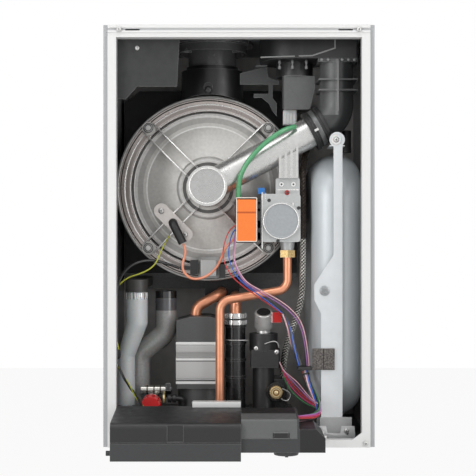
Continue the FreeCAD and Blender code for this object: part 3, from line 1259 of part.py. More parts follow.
def diverter_stem():
    body = new_body("diverter_stem")
    low = "-volute_bottom + stem_rest"
    turn_profile(body, [[("0", low), ("stem_head", low), ("stem_head", f"{low} + stem_head_height"),
                         ("stem_radius", f"{low} + stem_head_height"),
                         ("stem_radius", f"{low} + stem_length"), ("0", f"{low} + stem_length")]])
    return node("diverter_stem", place(body, *diverter_place("0")))


def diverter_actuator():
    """Brushed can, tipped forward on its seat, with the red plug beside it."""
    tip = FreeCAD.Rotation(FreeCAD.Vector(1, 0, 0), size("actuator_tilt"))
    can = new_body("can")
    turn_profile(can, [[("0", "0"), ("actuator_radius", "0"),
                        ("actuator_radius", "actuator_height", "overrun"),
                        ("0", "actuator_height")]])
    place(can, *diverter_place("diverter_top - actuator_seat"), tip)
    seat = rod("actuator_seat", "2 * actuator_seat", *diverter_place("diverter_top - seat_gap"))
    plug = block(("diverter_x + actuator_radius - overrun",
                  "-(diverter_depth + connector_width)",
                  "-diverter_top + plug_lift"),
                 ("diverter_x + actuator_radius + connector_width - overrun",
                  "-diverter_depth", "-diverter_top + plug_lift + connector_height"))
    return node("diverter_actuator", fuse(can, seat, plug))


def copper_pipes():
    """Flow pipe from the drum's header down to the column, and the thinner return pipe."""
    flow = pipe([vector("-column_x", "-column_depth", "-flow_nut_top - flow_nut_height"),
                 vector("-column_x", "-column_depth", "-flow_turn"),
                 vector("-column_x", "-(header_depth + header_width - header_wall)",
                        "-flow_turn")],
                "flow_radius", "2 * flow_radius", "flow_radius - pipe_wall")
    back = pipe([vector("-return_x", "-return_depth", "-(pump_top - seat_gap)"),
                 vector("-return_x", "-return_depth", "-return_turn"),
                 vector("-return_enter_x", "-(return_depth - return_radius)", "-return_enter"),
                 vector("-return_enter_x", "-(header_depth + header_width - header_wall)",
                        "-return_enter")],
                "return_radius", "2 * return_radius", "return_radius - pipe_wall")
    return node("copper_pipes", group(flow, back))


def ring_nut(flats_or_radius, height, bore, x, y, z, flats=True):
    body = new_body("nut")
    outline = hexagon("0", "0", flats_or_radius) if flats else ["ring", "0", "0", flats_or_radius]
    pad(body, "XY", [outline, ["ring", "0", "0", bore]], "0", height)
    return place(body, x, y, z)


def pipe_nuts():
    """Chrome ring nut and foot flange on the flow pipe."""
    x, y = "-column_x", "-column_depth"
    ring = ring_nut("flow_nut_radius", "flow_nut_height", "flow_radius + seat_gap", x, y,
                    "-(flow_nut_top + flow_nut_height)", flats=False)
    foot = ring_nut("column_rib", "flow_foot_height", "flow_radius + seat_gap", x, y,
                    "-(flow_nut_top + flow_nut_height + flow_nut_gap + flow_foot_height)",
                    flats=False)
    return node("pipe_nuts", group(ring, foot))


def brass_fittings():
    """Hexagon nut on the gas pipe and the round drain fitting that faces forward."""
    gas = ring_nut("gas_nut_flats / 2", "gas_nut_height", "gas_pipe_radius + seat_gap", "inlet_x",
                   "-inlet_depth", "-(valve_bottom + cone_height + seat_gap + gas_nut_height)")
    stub = rod("drain_radius * round_share / 2", "drain_front - drain_face + drain_stub", "drain_x",
               "-(drain_face - drain_stub)", "-drain_low", FORWARD)
    head = rod("drain_radius", "drain_front - drain_face - seat_gap", "drain_x",
               "-(drain_face + seat_gap)", "-drain_low", FORWARD)
    return node("brass_fittings", group(gas, fuse(stub, head)))


def with_relief(tail, radius, x, y):
    """A tail with a thread relief turned into it where it leaves the casing's bottom."""
    low = "case_top - case_height - tail_relief + overrun / 2"
    ring = cut(rod(f"{radius} + overrun", "tail_relief", x, y, low),
               rod(f"{radius} - relief_cut", "tail_relief + 2 * overrun", x, y, f"{low} - overrun"))
    return cut(tail, ring)


def pipe_tails():
    """Four brass tails from the hydraulic block down through the casing's bottom."""
    top = "-volute_bottom - seat_gap - base_height"
    places = (("-flow_tail_x", "tail_radius"), ("-hot_tail_x", "tail_small"),
              ("cold_tail_x", "tail_small"), ("return_tail_x", "tail_radius"))
    bores = [cut(rod(radius, f"tail_end + {top}", x, "-tail_depth", "-tail_end"),
                 rod("tail_small - 2 * pipe_wall", f"tail_end + {top} - overrun", x,
                     "-tail_depth", "-tail_end - overrun"))
             for x, radius in places]
    return node("pipe_tails", group(*[with_relief(tail, radius, x, "-tail_depth")
                                      for tail, (x, radius) in zip(bores, places)]))


# Safety valve
def safety_valve():
    tube = rod("relief_tube_radius", "relief_left - relief_right", "-relief_left",
               "-relief_depth", "-relief_tube_low", RIGHTWARD)
    head = rod("relief_radius", "relief_face - relief_back", "-relief_x", "-relief_back",
               "-relief_low", FORWARD)
    foot = rod("relief_tube_radius", "volute_bottom - relief_low", "-relief_x",
               "-relief_depth", "-volute_bottom")
    neck = rod("relief_tube_radius", "relief_low - relief_tube_low", "-relief_x",
               "-relief_depth", "-relief_low")
    collar = ring_nut("relief_radius", "relief_tube_radius", "relief_tube_radius - overrun",
                      "0", "0", "0")
    place(collar, "-(relief_right + relief_tube_radius + overrun)", "-relief_depth",
          "-relief_tube_low", RIGHTWARD)
    socket = rod("spindle_radius + fit_gap", "spindle_length + overrun", "-relief_x",
                 "-(relief_face - spindle_length)", "-relief_low", FORWARD)
    return node("safety_valve", cut(fuse(tube, head, foot, neck, collar), socket))


def relief_knob():
    """Fluted red knob on a spindle; turning it lifts the valve."""
    body = new_body("relief_knob")
    turn_profile(body, [[("0", "-(spindle_length - running_gap)"),
                         ("spindle_radius", "-(spindle_length - running_gap)"),
                         ("spindle_radius", "running_gap"), ("knob_radius", "running_gap"),
                         ("knob_radius", "knob_length", "flute_radius"), ("0", "knob_length")]])
    flute = pocket(body, "XY", [["ring", "knob_radius", "0", "flute_radius"]],
                   "knob_length + overrun", "knob_length - knob_radius / 3")
    polar(body, [flute], size_count("knob_flutes"))
    return node("relief_knob", place(body, "-relief_x", "-relief_face", "-relief_low", FORWARD))


# Condensate siphon and trap
def siphon_loft(shrink, top, bottom):
    """Upright bottle that leans into a narrower, lower tube."""
    body = new_body("bottle")
    sections = [("-siphon_x", "siphon_radius", top), ("-siphon_x", "siphon_radius", "siphon_straight"),
                ("-siphon_low_x", "siphon_low_radius", "siphon_low_start"),
                ("-siphon_low_x", "siphon_low_radius", bottom)]
    sketches = [sketch_in(body, "XY", [["ring", x, "-siphon_depth", f"{radius} - ({shrink})"]],
                          f"-({drop})") for x, radius, drop in sections]
    loft = body.newObject("PartDesign::AdditiveLoft", "loft")
    loft.Profile = sketches[0]
    loft.Sections = sketches[1:]
    loft.Ruled = True
    return body


def siphon():
    """Condensate siphon with its cap nut and the inlet above it."""
    bottle = siphon_loft("0", "siphon_top", "siphon_bottom")
    hollow = siphon_loft("siphon_wall", "siphon_top - overrun", "siphon_bottom - siphon_wall")
    spigot = rod("spigot_radius", "tail_end - siphon_bottom + overrun", "-siphon_low_x",
                 "-siphon_depth", "-tail_end")
    cap = rod("siphon_cap", "siphon_cap_height", "-siphon_x", "-siphon_depth", "-siphon_top")
    whole = fuse(cut(fuse(bottle, spigot), hollow), cap)
    return node("siphon", with_relief(whole, "spigot_radius", "-siphon_low_x", "-siphon_depth"))


def siphon_inlet():
    """Black socket between the drum housing and the siphon, with the sensor block below."""
    top = "-siphon_inlet_top"
    socket = rod("siphon_inlet_radius", "siphon_top - siphon_cap_height - siphon_inlet_top - seat_gap",
                 "-siphon_x", "-siphon_depth", "-(siphon_top - siphon_cap_height - seat_gap)")
    arm = block(("-(siphon_x + siphon_low_radius)", "-siphon_depth", "-siphon_top + siphon_cap_radius"),
                ("-(siphon_x - siphon_low_radius)", "-(housing_depth + seat_gap)",
                 "-siphon_inlet_top"))
    return node("siphon_inlet", fuse(socket, arm))


def siphon_trap():
    """Bent translucent tube behind the siphon."""
    points = [vector("-trap_x", "-trap_depth", "-trap_top"),
              vector("-trap_x", "-trap_depth", "-trap_turn"),
              vector("-trap_end_x", "-trap_depth", "-trap_end"),
              vector("-trap_end_x", "-trap_depth", "-volute_bottom")]
    return node("siphon_trap", pipe(points, "trap_radius", "trap_bend",
                                    "trap_radius - siphon_wall"))


# Expansion vessel
def vessel_form(side, shrink, label):
    """Half of the rounded, domed body on one side of the seam."""
    body = new_body(label)
    loop = rectangle(f"-(vessel_front - {shrink})", f"-(vessel_bottom - {shrink})",
                     f"-(vessel_back + {shrink})", f"-(vessel_top + {shrink})",
                     f"vessel_corner - {shrink}")
    if side < 0:
        start = f"vessel_left + {shrink}"
        length = f"seam_x - seam_width / 2 - vessel_left - {shrink}"
    else:
        start = "seam_x + seam_width / 2"
        length = f"vessel_right - {shrink} - seam_x - seam_width / 2"
    pad(body, "YZ", [loop], start, length)
    far = size(f"vessel_left + {shrink}" if side < 0 else f"vessel_right - {shrink}")
    soften(body, f"vessel_dome - {shrink}",
           lambda edge: all(abs(vertex.X - far) < 1e-6 for vertex in edge.Vertexes))
    return body


def vessel_shell(side):
    outer = vessel_form(side, "0", "outer")
    inner = vessel_form(side, "vessel_wall", "inner")
    flange = new_body("flange")
    lip = "-seam_margin"
    loops = [rectangle("-(vessel_front + seam_margin)", "-(vessel_bottom + seam_margin)",
                       "-(vessel_back - seam_margin)", "-(vessel_top - seam_margin)",
                       "vessel_corner + seam_margin"),
             rectangle("-(vessel_front - vessel_wall)", "-(vessel_bottom - vessel_wall)",
                       "-(vessel_back + vessel_wall)", "-(vessel_top + vessel_wall)",
                       "vessel_corner - vessel_wall")]
    near = "seam_x - seam_width / 2" if side < 0 else "seam_x + membrane_wall / 2"
    pad(flange, "YZ", loops, near, "(seam_width - membrane_wall) / 2")
    return fuse(cut(outer, inner), flange)


def vessel_shells():
    return node("vessel_shells", group(vessel_shell(-1), vessel_shell(1)))


def vessel_membrane():
    body = new_body("vessel_membrane")
    pad(body, "YZ", [rectangle("-(vessel_front + seam_margin)", "-(vessel_bottom + seam_margin)",
                               "-(vessel_back - seam_margin)", "-(vessel_top - seam_margin)",
                               "vessel_corner + seam_margin")],
        "seam_x - membrane_wall / 2", "membrane_wall")
    return node("vessel_membrane", body)


def vessel_strap():
    """Upright strap in front of the vessel with a wing, its top hook and its bottom foot."""
    body = new_body("strap")
    front = "vessel_front + seam_margin"
    pad(body, "XZ", [[("strap_right", "-strap_bottom"), ("strap_right", "-strap_top"),
                      ("strap_left", "-strap_top"), ("strap_left", "-strap_wing_high"),
                      ("strap_wing_left", "-strap_wing_top"),
                      ("strap_wing_left", "-strap_wing_bottom"),
                      ("strap_lower_left", "-strap_wing_low"),
                      ("strap_lower_left", "-strap_bottom")]], front, "strap_wall")
    pad(body, "XZ", [["ring", "hook_x", "-hook_drop", "hook_round"]], front, "strap_wall")
    pad(body, "XY", [rectangle("hook_x - hook_round", f"-({front} + strap_wall)",
                               "hook_x + hook_round", f"-({front} - hook_depth)")],
        "-hook_low", "strap_wall")
    foot = block(("foot_left", f"-({front} + strap_wall)", "case_top - case_height + sheet_wall"),
                 ("foot_right", "-foot_back", "-foot_high"))
    under = block(("foot_left - overrun", f"-({front} - foot_wall)",
                   "case_top - case_height"),
                  ("foot_right + overrun", "-(foot_back + foot_wall)", "-foot_high - foot_wall"))
    foam = block(("pad_left", f"-({front} + strap_wall + pad_wall)", "-pad_low"),
                 ("pad_right", f"-({front} + strap_wall)", "-pad_high"))
    return node("vessel_strap", group(body, cut(foot, under), foam))


def vessel_tee():
    """Black hose tee on the vessel's top, with its brass port into the left shell."""
    top = "-(vessel_top - seam_margin - seat_gap)"
    upright = rod("tee_radius", "vessel_top - seam_margin - seat_gap - tee_top", "tee_x",
                  "-tee_depth", top)
    branch = rod("tee_branch", "tee_x - hook_left", "hook_left", "-tee_depth",
                 "-tee_top - tee_radius", RIGHTWARD)
    return node("vessel_tee", fuse(upright, branch))


# Control box, drawn as it hangs in front of the casing
def control_tray():
    """Lower part of the box, open upwards, with the wedge-shaped end at the right."""
    body = new_body("tray")
    low = "-box_bottom"
    wall = "box_wall"
    ledge = "-(cover_bottom + running_gap)"
    pad(body, "YZ", [[("-box_back", low), ("-box_back", "-box_mid"), ("-box_front", "-box_mid"),
                      ("-box_front", low, wall)]], "-box_left", "box_left + box_split")
    pad(body, "YZ", [[("-box_back", "-tray_bottom"), ("-box_back", ledge), ("-cover_front", ledge),
                      ("-cover_front", "-tray_bottom")]], "box_split", "box_right - box_split")
    pad(body, "YZ", [[("-box_back", ledge), ("-box_back", "-cover_back_top"),
                      ("-cover_front", "-cover_front_top"), ("-cover_front", ledge)]],
        f"box_right - {wall}", wall)
    pad(body, "YZ", [[("-box_back", ledge), ("-box_back", "-(barrel_drop + barrel_radius + overrun)"),
                      (f"-box_back - {wall}", "-(barrel_drop + barrel_radius + overrun)"),
                      (f"-box_back - {wall}", ledge)]], "box_split", "box_right - box_split")
    pad(body, "XZ", [[("box_right", "-tray_bottom"), ("box_right", "-tray_ledge"),
                      ("tray_right - tray_slope", "-tray_ledge"),
                      ("tray_right", "-(tray_ledge + tray_slope)"),
                      ("tray_right", "-tray_bottom")]], "box_back", "cover_front - box_back")
    pocket(body, "XY", [rectangle(f"-(box_left - {wall})", f"-(box_front - {wall})",
                                  f"box_split - {wall}", f"-(box_back + {wall})")],
           "-box_mid", f"box_bottom - box_mid - {wall}")
    pocket(body, "XY", [rectangle("box_split", f"-(cover_front - {wall})",
                                  f"box_right - {wall}", f"-(box_back + {wall})")],
           ledge, f"tray_bottom + {ledge} - {wall}")
    floor = f"{low} + {wall}"
    posts = [["ring", x, f"-({depth})", "post_radius"]
             for x in ("-(box_left - post_inset - post_radius)", "box_split - post_inset - post_radius")
             for depth in ("box_back + post_inset + post_radius",
                           "box_front - post_inset - post_radius")]
    pad(body, "XY", posts, floor, "board_lift")
    for x, depth, drop in dial_places():
        pocket(body, "XY", [["ring", x, f"-{depth}", "dial_spindle + fit_gap"]],
               f"-{drop} + {wall} + overrun", f"{wall} + 2 * overrun")
    pocket(body, "XY", [rectangle("-display_left", "-display_front", "-display_right",
                                  "-display_back", wall)],
           f"{low} + display_sink", "display_sink + overrun")
    catch = rod("catch_radius", "catch_length", "-(box_left + catch_length)", "-catch_depth",
                "-catch_low", RIGHTWARD)
    sockets = [rod("pin_radius + fit_gap", "pin_length + overrun", x, "-hinge_depth",
                   "-hinge_drop", RIGHTWARD)
               for x in ("-(box_left + overrun)", "tray_right - pin_length")]
    flap_hole = rod("flap_pin_radius + fit_gap", f"{wall} + 2 * overrun",
                    f"box_right - {wall} - overrun", "-barrel_depth", "-barrel_drop", RIGHTWARD)
    entry = rod("entry_radius", f"{wall} + 2 * overrun", f"box_right - {wall} - overrun",
                "-entry_depth", "-entry_drop", RIGHTWARD)
    return node("control_tray", cut(fuse(body, catch), *sockets, flap_hole, entry))


def dial_places():
    """Each dial's x, depth and the drop of the face that it turns on."""
    return (("-(box_left - dial_inset)", "dial_depth", "box_bottom"),
            ("right_dial_x", "right_dial_depth", "tray_bottom"))


def control_lid():
    """Upper part of the box, open downwards, its top sloping to a rounded front edge."""
    body = new_body("lid")
    wall = "box_wall"
    pad(body, "YZ", [[("-box_back", "-box_mid"), ("-box_back", "-box_back_top"),
                      ("-box_front", "-box_front_top", "box_nose"), ("-box_front", "-box_mid")]],
        "-box_left", "box_left + box_split")
    pocket(body, "YZ", [[(f"-(box_back + {wall})", "-box_mid - overrun"),
                         (f"-(box_back + {wall})", f"-(box_back_top + {wall})"),
                         (f"-(box_front - {wall})", f"-(box_front_top + {wall})",
                          f"box_nose - {wall}"),
                         (f"-(box_front - {wall})", "-box_mid - overrun")]],
           f"box_split - {wall}", f"box_left + box_split - 2 * {wall}")
    pocket(body, "XZ", [["ring", "-left_entry_x", "-left_entry_drop", "entry_radius"]],
           f"box_back + {wall} + overrun", f"{wall} + 2 * overrun")
    pad(body, "XZ", [rectangle("-panel_bar_left", "-box_back_top", "box_split",
                               "-(box_back_top - panel_bar_height)")],
        "box_back - panel_bar_depth", "panel_bar_depth")
    pad(body, "XZ", [rectangle("-panel_bar_left", "-(box_back_top + panel_bar_height)",
                               "box_split", "-box_back_top")],
        "box_back - panel_bar_depth", "panel_bar_depth")
    pocket(body, "XZ", [rectangle("-notch_left", "-(box_mid - notch_rise)", "-notch_right",
                                  "-box_front_top")], "box_front", "notch_depth")
    pocket(body, "XZ", [rectangle("-(box_left + overrun)", "-(box_mid + overrun)",
                                  "box_split + overrun", "-(box_mid - seam_groove)")],
           "box_front", "seam_groove")
    pin_hole = rod("flap_pin_radius + fit_gap", f"{wall} + 2 * overrun",
                   f"box_split - {wall} - overrun", "-barrel_depth", "-barrel_drop", RIGHTWARD)
    return node("control_lid", cut(body, pin_hole))


def control_board():
    body = new_body("control_board")
    lift = "-box_bottom + box_wall + board_lift"
    pad(body, "XY", [rectangle("-(box_left - board_inset)", "-(box_front - board_inset)",
                               "box_split - board_inset", "-(box_back + board_inset)")],
        lift, "board_wall")
    parts = [("-(box_left - 3 * board_inset)", 4, 3), ("-box_left / 2", 3, 2),
             ("-(box_split + 4 * board_inset)", 2, 4)]
    for left, wide, deep in parts:
        pad(body, "XY", [rectangle(left, "-(box_front - 3 * board_inset)",
                                   f"{left} + {wide} * board_inset",
                                   f"-(box_front - (3 + {deep}) * board_inset)")],
            f"{lift} + board_wall", "board_inset")
    return node("control_board", body)


def terminal_cover():
    """Cover over the terminals, hinged on stub pins along its back edge."""
    body = new_body("cover")
    wall = "box_wall"
    left = "box_split + running_gap"
    width = f"box_right - {wall} - box_split - 2 * running_gap"
    top = "-(cover_back_top)"
    nose = "cover_nose"
    front_top = "-(cover_front_top)"
    pad(body, "YZ", [[("-(barrel_depth)", top), ("-cover_front", front_top, nose),
                      ("-cover_front", "-cover_bottom"),
                      (f"-(cover_front - {wall})", "-cover_bottom"),
                      (f"-(cover_front - {wall})", f"{front_top} - {wall}"),
                      ("-(barrel_depth)", f"{top} - {wall}")]], left, width)
    pad(body, "YZ", [["ring", "-barrel_depth", "-barrel_drop", "barrel_radius"]], left, width)
    latch = block(("latch_left", "-(cover_front + latch_wall)", "-cover_bottom"),
                  ("latch_right", "-cover_front", "-(cover_bottom - latch_height)"))
    link = block((left, "-(barrel_depth + barrel_radius)", "-barrel_drop"),
                 (f"{left} + {width}", "-barrel_depth", f"{top} - {wall} / 2"))
    pins = [rod("flap_pin_radius", "flap_pin_length", x, "-barrel_depth", "-barrel_drop", RIGHTWARD)
            for x in (f"box_split - {wall} + running_gap", f"box_right - flap_pin_length - running_gap")]
    return node("terminal_cover", fuse(body, latch, link, *pins))


def dial(label, x, depth, drop):
    """Setting knob under the box, with a grip bar across it and a stub spindle."""
    body = new_body(label)
    turn_profile(body, [[("0", "-(box_wall + overrun + running_gap)"),
                         ("dial_spindle", "-(box_wall + overrun + running_gap)"),
                         ("dial_spindle", "0"), ("dial_radius", "0"),
                         ("dial_radius", "dial_height / 3"),
                         ("dial_radius * round_share", "dial_height - grip_rise"),
                         ("0", "dial_height - grip_rise")]])
    pad(body, "XY", [rectangle("-dial_grip / 2", "-dial_radius * round_share", "dial_grip / 2",
                               "dial_radius * round_share", "dial_grip / 3")],
        "dial_height - grip_rise", "grip_rise")
    downward = FreeCAD.Rotation(FreeCAD.Vector(1, 0, 0), 180)
    return node(label, place(body, x, f"-{depth}", f"-({drop} + running_gap)", downward))


def hinge_pins():
    """Headed pins through the lugs into both ends of the box."""
    left = "-(box_left + box_joint + lug_wall)"
    right = "tray_right + box_joint + lug_wall"
    shank = "pin_length + lug_wall"
    pins = [fuse(rod("pin_radius", shank, left, "-hinge_depth", "-hinge_drop", RIGHTWARD),
                 rod("pin_head_radius", "pin_head", f"{left} - pin_head", "-hinge_depth",
                     "-hinge_drop", RIGHTWARD)),
            fuse(rod("pin_radius", shank, f"{right} - ({shank})", "-hinge_depth", "-hinge_drop",
                     RIGHTWARD),
                 rod("pin_head_radius", "pin_head", right, "-hinge_depth", "-hinge_drop",
                     RIGHTWARD))]
    return pins


# Fasteners that face forward: (x, depth of the seat, drop, head, head height, shank, length)
def forward_fastener(x, depth, z, head, height, shank, length, nut=False):
    stem = rod(shank, f"{length} + {height} / 2", x, f"-({depth} - {length})", z, FORWARD)
    if nut:
        top = new_body("nut")
        pad(top, "XY", [hexagon("0", "0", head)], "0", height)
        place(top, x, f"-({depth})", z, FORWARD)
    else:
        top = rod(head, height, x, f"-({depth})", z, FORWARD)
    return fuse(stem, top)


def fasteners():
    pieces = hinge_pins()
    for x, z in screw_places():
        pieces.append(forward_fastener(x, "case_depth", z, "screw_head_radius", "screw_head",
                                       "screw_radius", "screw_length"))
    seat = "housing_depth + drum_length + rim_sheet"
    for across in (-1, 1):
        for up in (-1, 1):
            pieces.append(forward_fastener(
                f"-drum_x + {across} * bolt_circle * cos(45)",
                f"{seat} + rib_foot + lug_height",
                f"-drum_drop + {up} * bolt_circle * cos(45)", "nut_radius", "nut_height",
                "bolt_radius", "rib_foot + lug_height", nut=True))
    for side in (-1, 1):
        pieces.append(forward_fastener(
            f"-drum_x - (boss_distance + {side} * boss_half) * cos(45)",
            f"{seat} + boss_top + electrode_plate",
            f"-drum_drop - (boss_distance - {side} * boss_half) * cos(45)",
            "washer_radius", "screw_head", "screw_radius", "screw_length"))
    strap_face = "-(vessel_front + seam_margin + strap_wall)"
    for x, z in (("strap_left + strap_wall * 3", "-hook_low + hook_rivet"),
                 ("strap_lower_left + hook_rivet / 2", "-(strap_wing_top + strap_wing_bottom) / 2"),
                 ("hook_right", "-foot_high - hook_rivet")):
        pieces.append(rod("screw_head_radius", "screw_head / 2", x, strap_face, z, FORWARD))
    pieces.append(rod("screw_head_radius", "screw_head / 2", "-rivet_x",
                      "-(case_depth - frame_depth)", "rivet_height", FORWARD))
    return node("fasteners", group(*pieces))


# Leads and hoses.  Each route is a list of (x, depth, drop below the fixings) chosen by hand.
def thermostat_leads():
    return [("black cable", "black_cable",
             [(-105.4, 213.5, 346.5), (-122, 220, 340), (-145, 230, 333), (-169, 240, 333),
              (-190, 247, 342), (-206, 250, 361), (-213, 250, 388), (-215, 250, 425),
              (-213, 253, 462), (-213, 256, 486.5)]),
            ("earth lead", "earth_lead",
             [(-122.8, 217.2, 288.9), (-130, 222, 302), (-138, 232, 319), (-143, 238, 333),
              (-149, 241.5, 342), (-158, 245, 349), (-173, 250, 356), (-190, 250.5, 361.5),
              (-206, 248, 380),
              (-209, 244, 408), (-209, 244, 440), (-208, 252, 468), (-208, 256, 486.5)])]


def wiring():
    routes = thermostat_leads()
    routes.append(("ignition lead", "ignition_lead",
                   [(-97.2, 247, 303.1), (-91, 247, 315), (-98, 246, 335), (-98, 245, 352),
                    (-82, 245, 366), (-58, 247, 362), (-39, 254, 346), (-29, 262, 325),
                    (-22, 269, 306), (-5.6, 270, 293)]))
    for name, index in (("red", 0), ("blue", 1)):
        routes.append((f"{name} lead", "thin_lead",
                       [(-4.7, 280 + 2 * index, 262 + 6 * index), (-17, 282, 268 + 6 * index),
                        (-27 + 3 * index, 280, 292 + 3 * index),
                        (-30 + 3 * index, 276 + 3 * index, 325),
                        (-14 + 3 * index, 280 + 3 * index, 358 - 3 * index),
                        (6, 284 + 3 * index, 375 - 3 * index),
                        (33 + 2 * index, 288 + 3 * index, 394 - 3 * index),
                        (55 + 2 * index, 289 + 3 * index, 409 - 2 * index),
                        (72.5 + index, 289 + 3 * index, 422 - index)]))
    for name, index in (("violet", 2), ("white", 3)):
        routes.append((f"{name} lead", "thin_lead",
                       [(-4.7, 280 + 2 * index, 262 + 6 * index), (-17, 282, 268 + 6 * index),
                        (-27 + 3 * index, 280, 292 + 3 * index),
                        (-30 + 3 * index, 276 + 3 * index, 325),
                        (-14 + 3 * index, 280 + 3 * index, 358 - 3 * index),
                        (6, 284 + 3 * index, 375 - 3 * index),
                        (38 + 3 * index, 288 + 3 * index, 396 - 3 * index),
                        (70 + 3 * index, 289 + 3 * index, 414 - 3 * index),
                        (97 + 3 * index, 289 + 3 * index, 441 - 3 * index),
                        (107 + 3 * index, 289 + 3 * index, 475),
                        (110 + 3 * index, 288 + 3 * index, 510.4)]))
    routes.append(("upper sheath", "upper_sheath",
                   [(73.5, 290.5, 422.5), (84, 291, 443), (90, 292, 468), (97, 294, 490),
                    (104, 294, 509.3)]))
    left_clip = clip("-left_clip_x", "left_clip_depth", "left_clip_drop", "clip_half", "clip_half")
    right_clip = clip("right_clip_x", "right_clip_depth", "right_clip_drop", "right_clip_half",
                      "clip_half / 3")
    return node("wiring", group(left_clip, right_clip,
                                *[free_form(lead(name, points, size(gauge)))
                                  for name, gauge, points in routes]))


def clip(x, depth, drop, half, rise):
    """A holder that takes over the leads from above and passes them on below."""
    return block((f"{x} - {half}", f"-({depth} + {half})", f"-({drop} + {rise})"),
                 (f"{x} + {half}", f"-({depth} - {half})", f"-({drop} - {rise})"))


def control_loom():
    """Leads that cross the control box's hinge, on the left and on the right."""
    routes = [("left loom", "black_cable",
               [(-212, 256, 504.2), (-206, 259, 522), (-194, 270, 540), (-178, 298, 556),
                (-162, 328, 572), (-152, 352, 584), (-150, 372, 588)]),
              ("sheath", "loom_sheath",
               [(112, 291, 518.4), (117, 295, 538), (127, 309, 559), (134, 334, 574),
                (129, 362, 583), (112, 388, 584), (88, 400, 584)])]
    return node("control_loom", group(*[free_form(lead(name, points, size(gauge)))
                                        for name, gauge, points in routes]))


def green_hose():
    shape = lead("green hose", [(95.5, 290.8, 104), (80, 301, 108), (59, 305, 121), (38, 305, 138),
                                (19, 304, 158), (5, 302, 180), (-1, 296, 202), (-1, 290, 224.2)],
                 size("green_hose"))
    return node("green_hose", free_form(shape))


def braided_hose():
    shape = lead("braided hose",
                 [(154.5, 215, 113), (133, 216, 114), (117, 224, 140), (111, 246, 178),
                  (111, 254, 232), (111, 255, 300), (111, 255, 348), (110, 252, 388),
                  (103, 242, 424), (90, 222, 464), (80, 196, 504), (78, 190, 541.6)],
                 size("braided_hose"))
    return node("braided_hose", free_form(shape))


def build():
    back_panel()
    side_panels()
    level_panel("top_panel", "case_top - sheet_wall",
                [("-flue_x", "flue_depth", "air_radius + seat_gap")])
    level_panel("bottom_panel", "case_top - case_height",
                [(x, depth, f"{radius} + running_gap") for x, depth, radius in (
                    ("-flow_tail_x", "tail_depth", "tail_radius"),
                    ("-hot_tail_x", "tail_depth", "tail_small"),
                    ("-gas_cross_x", "gas_back", "gas_pipe_radius"),
                    ("cold_tail_x", "tail_depth", "tail_small"),
                    ("return_tail_x", "tail_depth", "tail_radius"),
                    ("-siphon_low_x", "siphon_depth", "spigot_radius"))])
    for piece in (front_frame, label_plate, exchanger_housing, exchanger_shell, front_plate,
                  burner_door, burner_tube, heating_coil, ignition_electrodes, electrode_boot,
                  limit_thermostat, flue_collector, flue_terminal, fan_scroll, fan_impeller,
                  fan_motor, fan_support, air_elbow, rubber_coupling, mixing_head, gas_valve,
                  igniter_case, igniter_frame, gas_pipe, pump_cap, pump_motor, pump_volute,
                  pump_impeller, hydraulic_block, diverter_valve, diverter_stem,
                  diverter_actuator, copper_pipes, pipe_nuts, brass_fittings,
                  pipe_tails, safety_valve, relief_knob, siphon, siphon_inlet, siphon_trap,
                  vessel_shells, vessel_membrane, vessel_strap, vessel_tee, control_tray,
                  control_lid, control_board, terminal_cover):
        piece()
    left, right = dial_places()
    dial("heating_dial", *left)
    dial("water_dial", *right)
    for piece in (fasteners, wiring, control_loom, green_hose, braided_hose):
        piece()


def check_features():
    document.recompute()
    for item in document.Objects:
        wrong = {"Invalid", "Error"} & set(item.State)
        if wrong:
            raise RuntimeError(f"{item.Label}: {item.State}")
        if item.TypeId == "PartDesign::Pocket":
            if item.Shape.Volume > item.BaseFeature.Shape.Volume * (1 - 1e-9):
                raise RuntimeError(f"{item.Label} of {item.getParentGeoFeatureGroup().Label} "
                                   "cuts nothing")
    wrong = [piece.Label for piece in NODES if piece.Shape.isNull() or not piece.Shape.isValid()]
    if wrong:
        raise RuntimeError(f"shapes empty or not valid: {wrong}")


def write_parts():
    os.makedirs("parts", exist_ok=True)
    for piece in NODES:
        piece.Shape.exportStep(f"parts/{piece.Label}.step")
        box = piece.Shape.BoundBox
        print(f"{piece.Label}: {len(piece.Shape.Solids)} solids, {piece.Shape.Volume:.0f} mm3, "
              f"x {box.XMin:.0f}..{box.XMax:.0f} y {box.YMin:.0f}..{box.YMax:.0f} "
              f"z {box.ZMin:.0f}..{box.ZMax:.0f}")


build()
check_features()
write_parts()
print(f"{len(NODES)} nodes")
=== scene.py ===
# %% [markdown]
# # A condensing gas boiler with its front cover off
# The boiler hangs on a wall.  Its cover is taken away and its control box is swung down, so
# the drum, the fan, the gas valve, the pump and the vessel all show.  Their solids come from
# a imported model, and this script gives them their finishes and adds the finer pieces.
#
# x runs to the right, y runs back to the wall, so what stands in front of the wall has a
# negative y, and z runs up from the wall fixings.  The camera and the room are set in
# metres.  All finer sizes are written in millimetres, as on a drawing, and the helpers
# turn them to metres with mm.

# %% Load the frame
import math

import bmesh
import bpy
from mathutils import Color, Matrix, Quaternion, Vector


